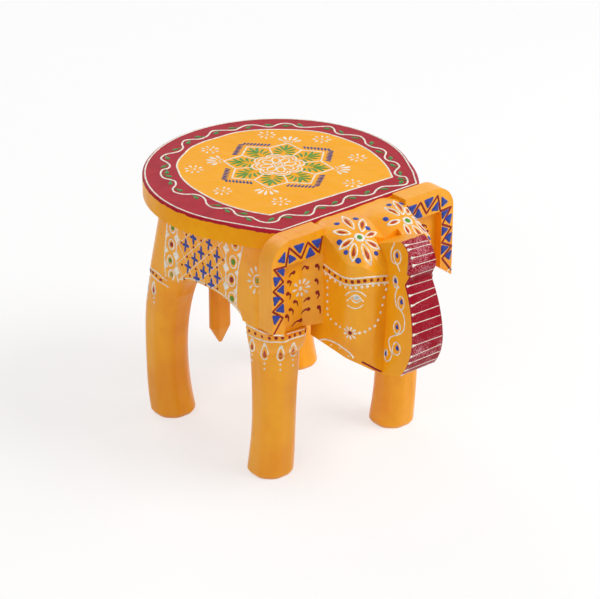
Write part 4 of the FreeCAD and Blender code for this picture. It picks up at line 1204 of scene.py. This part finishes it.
EAR_DAISY = (-54.3, 159.1)
EAR_PETALS = (
    (-55.2, 166.4), (-50.6, 166.2), (-47.4, 163.6), (-47, 159.4), (-48.8, 154.9), (-53, 152.4),
    (-58, 153.8), (-61.8, 158.9), (-60.2, 164.4),
)
ZIGZAG_LINE = 0.85


def draw_ear(cone, side):
    cone.on(Face([of_side("ear", side)], *FROM_FRONT, side))
    cone.line("maroon", ZIGZAG, ZIGZAG_LINE, False, True)
    for triangle in EAR_TRIANGLES:
        middle = middle_of(triangle)
        rim = []
        for corner, after in zip(triangle, (*triangle[1:], triangle[0])):
            rim.append(between(middle, corner, 1.04))
            rim.append(between(middle, between(corner, after, 0.5), 1.16))
        cone.shape("blue", rim, 0.55)
    for head, waist, tail in COMMAS:
        cone.dot("maroon", head, 1.6, 0.5)
        cone.stroke("maroon", spline([tail, waist, head], DROP_STEP), 1.0, comma)
    for petal in EAR_PETALS:
        cone.drop("cream", between(EAR_DAISY, petal, 0.42), petal, 1.05)
    cone.dot("cream", EAR_DAISY, 1.8)


# The head

# The ways from which the parts of the head are drawn
FROM_BROW = (-0.72, -0.69, 0)
FROM_CHEEK = (-0.8, -0.6, 0)
FROM_CROWN = (-0.30, -0.55, 0.78)
BROW = (
    (-38, -66, 175.5), (-38, -76, 173.9), (-38, -84.7, 173.4), (-36.3, -94.9, 174.6),
    (-28.2, -103.2, 176.4), (-18, -103.2, 175.2), (-6.9, -100.5, 173),
)
JAW = (
    (-38, -70, 163.8), (-38, -70, 158.5), (-38, -70, 153), (-38, -70, 147.5), (-38, -70, 142),
    (-38, -70.6, 137.5), (-38, -74, 135.2), (-38, -79.6, 133.5), (-38, -84, 132.9),
)
JAW_FRONT = (
    (-32.8, -99.2, 132.5), (-30, -101.9, 133.6), (-27.1, -103.7, 135.7), (-23.4, -104.8, 137.3),
    (-20.8, -105, 141.2), (-18.4, -105, 146.4), (-16.8, -105, 151.8), (-15.4, -105, 157.4),
    (-13.6, -105, 163), (-11.8, -105, 168),
)
CHIN = (
    (-38, -60.9, 113), (-38, -69.8, 117), (-38, -82.5, 118.2), (-37.3, -92.8, 116.2), (-35.5, -96.3, 112.2),
)
CHIN_BEADS = ((-38, -74.7, 114.7), (-38, -83.9, 115.7), (-37.2, -92.8, 113))
MOUTH = ((-31.5, -100.6, 109.6), (-26.5, -103.6, 106), (-21, -105, 101.4), (-17, -105, 98.4))
CHEEK_DAISY = (-36.9, -93.7, 131.6)
EYE = (57.3, 160.0)
EYE_LINES = (
    ((48.9, 160.1), (51.5, 163.1), (54.2, 164.8), (56.9, 165.3), (58.8, 165), (61.4, 163.8), (63.9, 161.4)),
    ((50, 156.3), (52.3, 158.8), (54.4, 161.1), (56.3, 162.3), (58.6, 161.7), (60.1, 159.8), (62.1, 157.4)),
    ((53.8, 158.8), (55.1, 157.1), (57.4, 156.1), (59.5, 157.5), (60.5, 158.4)),
    ((50.6, 153), (53, 152.1), (56.7, 151.6), (59.5, 152.6), (62.1, 154.9)),
)
FLOWER_HEARTS = {1: (-21.5, -85, 198.3), -1: (-23.1, -85.3, 198.1)}
# Each petal of a forehead flower: its inner and outer end, for the right and the left dome
PETALS = {
    1: (
        ((-20.2, -76.8, 201.3), (-14.4, -57.9, 202.2)), ((-16.5, -81.5, 200), (-5.6, -69.6, 201.7)),
        ((-17.2, -86.2, 197.8), (-6.2, -84.5, 197.2)), ((-19.1, -88.2, 196.4), (-12.6, -95.6, 190.5)),
        ((-23.2, -89.8, 195.4), (-25.3, -101.3, 184.8)), ((-27.8, -86.7, 196.3), (-34.7, -93.2, 187.4)),
        ((-26.5, -83.8, 198.3), (-36.4, -81.4, 192.7)), ((-25.3, -79.6, 200.4), (-32.5, -70.3, 200.7)),
    ),
    -1: (
        ((-23.5, -79.4, 200.7), (-31.7, -60.5, 201.9)), ((-20.4, -78.9, 200.7), (-18.1, -66.3, 202.5)),
        ((-17.2, -83.1, 199.3), (-7.0, -82.4, 198.4)), ((-18.3, -87, 197.4), (-16.5, -94.5, 191.5)),
        ((-23.5, -89.5, 195.6), (-27.5, -99.5, 187)), ((-29.4, -86.5, 196), (-35.5, -95, 187)),
        ((-29.8, -82.2, 198), (-37, -84.5, 192)), ((-27.4, -79.9, 199.6), (-36, -70.5, 199.5)),
    ),
}
FLOWER_BEADS = {
    1: (
        (-25.5, -65.1, 202.8), (-9.4, -66.5, 202.4), (-9.6, -79.6, 199.4), (-8.8, -91.5, 193),
        (-17, -97.6, 189.3), (-32, -96, 187.6), (-35.1, -86.4, 191.4), (-34.6, -78.7, 196.2),
    ),
    -1: (
        (-23.7, -64.3, 202.8), (-34.8, -64.8, 200.8), (-9, -77.7, 200.8), (-9.6, -91, 193.6),
        (-22, -98.5, 188.5), (-33, -97, 185.5), (-37, -89.5, 189), (-36.5, -77, 196),
    ),
}
EYE_LINE = 0.42
PETAL_LINE = 0.6
MOUTH_LINE = 0.8
BAND_DROP = 5.2


def draw_head(cone, side):
    draw_brow(cone, side)
    draw_eye(cone, side)
    draw_jaw(cone, side)
    draw_crown_flower(cone, side)


def draw_brow(cone, side):
    face = facing(["head_block"], FROM_BROW, side)
    cone.on(face)
    flat = face.flats(BROW)
    cone.line("cream", flat, FIELD_LINE)
    cone.line("cream", [(u, v - BAND_DROP) for u, v in flat], FIELD_LINE)
    cone.dots("maroon", [(u, v - BAND_DROP / 2) for u, v in paced(flat, 4.2)], 1.35)
    cone.dots("cream", [(u + 1.4, v - 7.0) for u, v in paced(flat, 3.8)], 1.08)


def draw_eye(cone, side):
    cone.on(facing(["head_block"], FROM_CHEEK, side))
    for way in EYE_LINES:
        cone.line("cream", way, EYE_LINE)
    cone.shape("pearl", oval(EYE, 8, 2.1, 1.7))
    cone.ring("cream", EYE, 2.1, 1.7, 0.34)


def draw_jaw(cone, side):
    face = facing(["head_block"], FROM_CHEEK, side)
    cone.on(face)
    cone.dots("cream", face.flats((*JAW, *JAW_FRONT)), 1.12)
    centre = face.flat(CHEEK_DAISY)
    cone.daisy("cream", centre, radius=5.4, petals=9, half=0.85, inner=0.3)
    cone.dot("maroon", centre, 1.5)
    cone.line("cream", face.flats(CHIN), BAND_LINE)
    cone.line("wine", face.flats(MOUTH), MOUTH_LINE)
    cone.dots("cream", face.flats(CHIN_BEADS), 0.7)


def draw_crown_flower(cone, side):
    """Eight outlined petals and eight blue beads round a green heart, over a forehead dome."""
    face = facing(["head_block"], FROM_CROWN, side)
    cone.on(face)
    for inner, outer in PETALS[side]:
        start, end = face.flat(inner), face.flat(outer)
        half = max(1.7, min(2.8, apart(start, end) * 0.2))
        cone.almond("cream", start, end, half, PETAL_LINE, 0.1)
        cone.dot("cream", end, 1.1)
        cone.drop("rust", between(start, end, 0.2), between(start, end, 0.78), 1.3, 0.03)
    for bead in face.flats(FLOWER_BEADS[side]):
        spot = face.touch(*bead)
        if spot:
            cone.dot("blue", bead, 1.65 + 0.6 * spot[1].z)
    centre = face.flat(FLOWER_HEARTS[side])
    cone.ring("cream", centre, 2.8, 2.8, 1.2)
    cone.dot("green", centre, 2.2)


# The trunk

TRUNK_VINE = (
    (
        (-109.8, 200.5), (-109.2, 198.9), (-107, 193.6), (-106.9, 188.5), (-108.9, 185.1), (-113, 184.9),
        (-115.3, 183), (-116.5, 180.7),
    ),
    ((-112.5, 167.5), (-114.3, 167.2), (-116, 168.4)),
    (
        (-115.2, 167.4), (-113.6, 162.9), (-113.7, 157.9), (-115.6, 153.5), (-119.4, 152.5),
        (-122.9, 149.8), (-124.7, 145.4), (-124.3, 139.4), (-121.4, 134.9), (-117.6, 132.2), (-111.4, 128),
        (-109.3, 124.2), (-110.6, 120.2), (-112.9, 117.2), (-113.4, 114.5), (-111.6, 110.2),
        (-108.4, 107.6), (-106.4, 109.4), (-105.9, 113.4), (-106.9, 116.4), (-108.4, 115.4),
        (-108.6, 112.4),
    ),
    ((-109.3, 124.2), (-110.2, 121), (-112, 117.6), (-114.3, 116.4)),
)
TRUNK_RINGS = (
    (
        (-113.3, 185.2), (-110.6, 188), (-109.7, 191.8), (-112.2, 195.5), (-115.6, 195), (-117.1, 191.6),
        (-116.2, 187.5),
    ),
    (
        (-112.5, 167.5), (-111.1, 169.7), (-110.5, 173.2), (-111.7, 175.5), (-113.9, 174.6), (-115, 172.2),
        (-114.3, 169.3),
    ),
    (
        (-120, 152.6), (-117.5, 154.8), (-116.6, 158.9), (-118.6, 162.5), (-122, 161.7), (-123.1, 158.2),
        (-122.3, 154.7),
    ),
    (
        (-117.2, 132.6), (-114.4, 134.7), (-113.8, 138.5), (-116.1, 142.5), (-119.4, 141.6),
        (-120.6, 138.5), (-119.7, 135.6),
    ),
    (
        (-114.3, 116.9), (-113.8, 120.8), (-115.5, 125), (-117.8, 126.3), (-121.3, 124.5), (-121.5, 119.7),
        (-118.6, 116.7),
    ),
)
TRUNK_DROPS = (
    (-112.9, 191.4), (-112.9, 172.2), (-120.1, 158.6), (-117.1, 138), (-118.6, 122), (-107.2, 113.2),
)
TRUNK_BEADS = ((-109.8, 200.5), (-116, 168.6), (-120.1, 152.3), (-117.5, 132.4))
# Each row of the trunk's front: its height and how far it falls
FRONT_ROWS = (
    (201.2, 1.4), (198.8, 1.0), (193.9, 1.4), (188.7, 1.2), (180.1, 0.8), (171.2, 1.2), (165.1, 0.6),
    (158.4, -1.6), (152.1, 0.4), (145.6, 1.0), (137.6, 0.2), (129.3, 0.9), (120.4, -0.8), (114.5, 0),
    (107.5, 0.4), (102.6, 0.4),
)
CURL_LINE = 0.55
LOOP_LINE = 0.5
ROW_LINE = 0.28


def draw_trunk_side(cone, side):
    """A vine of curls from the trunk's tip to its root, each curl round a blue drop."""
    cone.on(Face(["trunk"], *FROM_SIDE, side))
    for way in TRUNK_VINE:
        cone.line("cream", way, CURL_LINE)
    for rim in TRUNK_RINGS:
        cone.line("cream", rim, LOOP_LINE, True)
    for u, v in TRUNK_DROPS:
        cone.drop("blue", (u, v + 2.6), (u, v - 1.8), 1.7)
    cone.dots("cream", TRUNK_BEADS, 1.1)


def draw_trunk_front(cone):
    """White lines across the wine front, which narrows upward, each from a blob at the near edge."""
    cone.on(Face(["trunk"], *FROM_FRONT))
    for v, fall in FRONT_ROWS:
        half = 15.5 - 5 * min(1, max(0, (v - 100) / 85))
        cone.line("cream", [(-half + 1.3, v), (0, v - fall * 0.5), (half + 1, v - fall)], ROW_LINE)
        cone.dot("cream", (-half + 1.3, v), 1.15)
        cone.drop("cream", (-half + 5, v - 0.2), (-half + 1.6, v), 0.7)


# Operators

DOWELS = [name for name in NODES if "dowel" in name]
LEGS = [name for name in NODES if name.startswith("leg_") and name not in DOWELS]
ENAMELS = (
    ("Body enamel", ["body_block"], (1, 0.3, 1), (0.2, 0.2, 0)),
    ("Leg enamel", LEGS, (1, 1, 0.2), (0, 0.5, 0)),
    ("Head enamel", ["head_block"], (1, 1, 0.3), (0.6, 0, 0)),
    ("Ear enamel", ["ear_left", "ear_right"], (1, 1, 0.25), (0, 0, 0.4)),
    ("Tail enamel", ["tail"], (1, 1, 0.2), (0.8, 0, 0)),
)


class StoolPiece:
    """What the stool's operators share."""

    bl_options = {"REGISTER", "UNDO"}

    def execute(self, context):
        self.make()
        return {"FINISHED"}


class StoolPattern(StoolPiece):
    """What the operators of the raised pattern share: a cone with its own part, slot and seed."""

    def make(self):
        cone = Cone(*self.cone)
        self.lay(cone)
        drawn_pieces(cone, the_tree(), cone_paints())


class STOOL_OT_enamel(StoolPiece, bpy.types.Operator):
    """Paint every carved piece with its enamel and the dowels with plain wood"""

    bl_idname = "stool.enamel"
    bl_label = "Enamel"

    def make(self):
        dress(["seat_board"], seat_enamel())
        dress(["trunk"], trunk_enamel())
        for name, nodes, streak, shift in ENAMELS:
            dress(nodes, orange_enamel(name, streak, shift))
        dress(DOWELS, dowel_wood())


class STOOL_OT_seat_field(StoolPiece, bpy.types.Operator):
    """Lay the orange field on the crimson seat"""

    bl_idname = "stool.seat_field"
    bl_label = "Seat field"

    def make(self):
        rim = field_rim()
        build = bmesh.new()
        heights = [SEAT_TOP + side * sizes().skin for side in SIDES]
        upper, lower = ([build.verts.new((u * MM, v * MM, height)) for u, v in rim] for height in heights)
        build.faces.new(upper)
        build.faces.new(list(reversed(lower)))
        for number in range(len(rim)):
            after = (number + 1) % len(rim)
            build.faces.new((lower[number], lower[after], upper[after], upper[number]))
        bmesh.ops.triangulate(build, faces=build.faces[:])
        bmesh.ops.recalc_face_normals(build, faces=build.faces[:])
        mesh = bpy.data.meshes.new("seat_field")
        build.to_mesh(mesh)
        build.free()
        field = placed("seat_field", mesh)
        enamelled = orange_enamel("Field enamel", (1, 0.5, 1), (0.1, 0.1, 0.1), wash=0.12, gloss=0.08)
        mesh.materials.append(enamelled)
        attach(field, "root")


class STOOL_OT_seat_pattern(StoolPattern, bpy.types.Operator):
    """Draw the seat's border vine, star, rosette and daisies"""

    bl_idname = "stool.seat_pattern"
    bl_label = "Seat pattern"
    cone = ("seat_pattern", "seat_paint", 1)

    def lay(self, cone):
        draw_seat(cone)


class STOOL_OT_body_pattern(StoolPattern, bpy.types.Operator):
    """Draw the lattice and oval borders on both sides of the body"""

    bl_idname = "stool.body_pattern"
    bl_label = "Body pattern"
    cone = ("body_pattern", "body_paint", 2)

    def lay(self, cone):
        for side in SIDES:
            draw_side(cone, side)


class STOOL_OT_leg_pattern(StoolPattern, bpy.types.Operator):
    """Draw the dotted band and hanging drops round each leg"""

    bl_idname = "stool.leg_pattern"
    bl_label = "Leg pattern"
    cone = ("leg_pattern", "leg_paint", 3)

    def lay(self, cone):
        for end in ("front", "rear"):
            for side in SIDES:
                draw_leg(cone, end, side)


class STOOL_OT_ear_pattern(StoolPattern, bpy.types.Operator):
    """Draw the zigzag border, commas and daisy on both ears"""

    bl_idname = "stool.ear_pattern"
    bl_label = "Ear pattern"
    cone = ("ear_pattern", "ear_paint", 4)

    def lay(self, cone):
        for side in SIDES:
            draw_ear(cone, side)


class STOOL_OT_head_pattern(StoolPattern, bpy.types.Operator):
    """Draw the brow band, eyes, cheeks and forehead flowers"""

    bl_idname = "stool.head_pattern"
    bl_label = "Head pattern"
    cone = ("head_pattern", "head_paint", 5)

    def lay(self, cone):
        for side in SIDES:
            draw_head(cone, side)


class STOOL_OT_trunk_pattern(StoolPattern, bpy.types.Operator):
    """Draw the vine on the trunk's sides and the lines across its front"""

    bl_idname = "stool.trunk_pattern"
    bl_label = "Trunk pattern"
    cone = ("trunk_pattern", "trunk_paint", 6)

    def lay(self, cone):
        for side in SIDES:
            draw_trunk_side(cone, side)
        draw_trunk_front(cone)


class STOOL_OT_stage(StoolPiece, bpy.types.Operator):
    """Set the pale floor, the studio light and the camera"""

    bl_idname = "stool.stage"
    bl_label = "Stage"

    def make(self):
        lay_floor()
        light_room()
        for lamp in LAMPS:
            hang_lamp(*lamp)
        set_camera()
        bpy.context.scene.view_settings.view_transform = "Standard"


# The stage

# Name, place in metres, power in watts and size of each lamp
LAMPS = (
    ("Key", (0.9, -1.3, 1.9), 26, 1.2),
    ("Side", (1.7, -0.8, 0.9), 8, 1.2),
    ("Fill", (-1.9, -0.7, 1.1), 10, 1.6),
    ("Back", (0.3, 1.8, 1.4), 9, 1.4),
)
LAMP_AIM = (0, 0, 0.1)
FLOOR_HALF = 6
CAMERA_PLACE = (-1.0124, -1.2337, 0.9197)
CAMERA_TURN = -39.21
CAMERA_DIP = 26.92
CAMERA_LENS = 144.3
WHITE = (1, 1, 1, 1)


def lay_floor():
    """A pale floor that looks white to the camera and keeps the stool's shadow."""
    build = bmesh.new()
    bmesh.ops.create_grid(build, x_segments=1, y_segments=1, size=FLOOR_HALF)
    mesh = bpy.data.meshes.new("floor")
    build.to_mesh(mesh)
    build.free()
    floor = placed("floor", mesh)
    recipe = material_recipe("Pale floor")
    seen = recipe.seen()
    shade = recipe.blend(seen, colours().floor, dimmed(colours().floor, 0.45))
    matt = recipe.add("ShaderNodeBsdfDiffuse", None, {"Color": shade})
    glow = recipe.add("ShaderNodeEmission", None, {"Color": WHITE, "Strength": seen * 0.62})
    both = recipe.add("ShaderNodeAddShader", None, {0: matt.outputs[0], 1: glow.outputs[0]})
    recipe.add("ShaderNodeOutputMaterial", None, {"Surface": both.outputs[0]})
    mesh.materials.append(recipe.holder)


def light_room():
    """Even light from all round, white where the camera sees past the floor."""
    world = bpy.data.worlds.new("Room")
    bpy.context.scene.world = world
    recipe = Recipe(world)
    glow = recipe.add("ShaderNodeBackground", None, {"Color": WHITE, "Strength": 0.42 + recipe.seen() * 0.58})
    recipe.add("ShaderNodeOutputWorld", None, {"Surface": glow.outputs[0]})


def hang_lamp(name, place, power, size):
    lamp = bpy.data.lights.new(name, "AREA")
    lamp.energy = power
    lamp.shape = "DISK"
    lamp.size = size
    hung = placed(name, lamp)
    hung.location = place
    hung.rotation_euler = (Vector(LAMP_AIM) - Vector(place)).to_track_quat("-Z", "Y").to_euler()


def set_camera():
    """The camera at the angle and distance from which the stool was measured."""
    turn, dip = math.radians(CAMERA_TURN), math.radians(CAMERA_DIP)
    forward = Vector((-math.sin(turn) * math.cos(dip), math.cos(turn) * math.cos(dip), -math.sin(dip)))
    eye = bpy.data.cameras.new("Camera")
    eye.sensor_width = 36
    eye.lens = CAMERA_LENS
    camera = placed("Camera", eye)
    camera.location = CAMERA_PLACE
    camera.rotation_euler = forward.to_track_quat("-Z", "Y").to_euler()
    bpy.context.scene.camera = camera


class STOOL_PT_panel(bpy.types.Panel):
    """The stool's sizes, colours and steps"""

    bl_idname = "STOOL_PT_panel"
    bl_label = "Elephant stool"
    bl_space_type = "VIEW_3D"
    bl_region_type = "UI"
    bl_category = "Stool"

    def draw(self, context):
        for group in (context.scene.stool_sizes, context.scene.stool_colours):
            for name in group.__annotations__:
                self.layout.prop(group, name)
        for operator in OPERATORS:
            self.layout.operator(operator.bl_idname)


OPERATORS = (
    STOOL_OT_enamel,
    STOOL_OT_seat_field,
    STOOL_OT_seat_pattern,
    STOOL_OT_body_pattern,
    STOOL_OT_leg_pattern,
    STOOL_OT_ear_pattern,
    STOOL_OT_head_pattern,
    STOOL_OT_trunk_pattern,
    STOOL_OT_stage,
)
CLASSES = (StoolSizes, StoolColours, *OPERATORS, STOOL_PT_panel)


def register():
    for each in CLASSES:
        bpy.utils.register_class(each)
    bpy.types.Scene.stool_sizes = PointerProperty(type=StoolSizes)
    bpy.types.Scene.stool_colours = PointerProperty(type=StoolColours)


def unregister():
    del bpy.types.Scene.stool_colours
    del bpy.types.Scene.stool_sizes
    for each in reversed(CLASSES):
        bpy.utils.unregister_class(each)


def main():
    register()
    for operator in OPERATORS:
        group, name = operator.bl_idname.split(".")
        getattr(getattr(bpy.ops, group), name)()


if __name__ == "__main__":
    main()
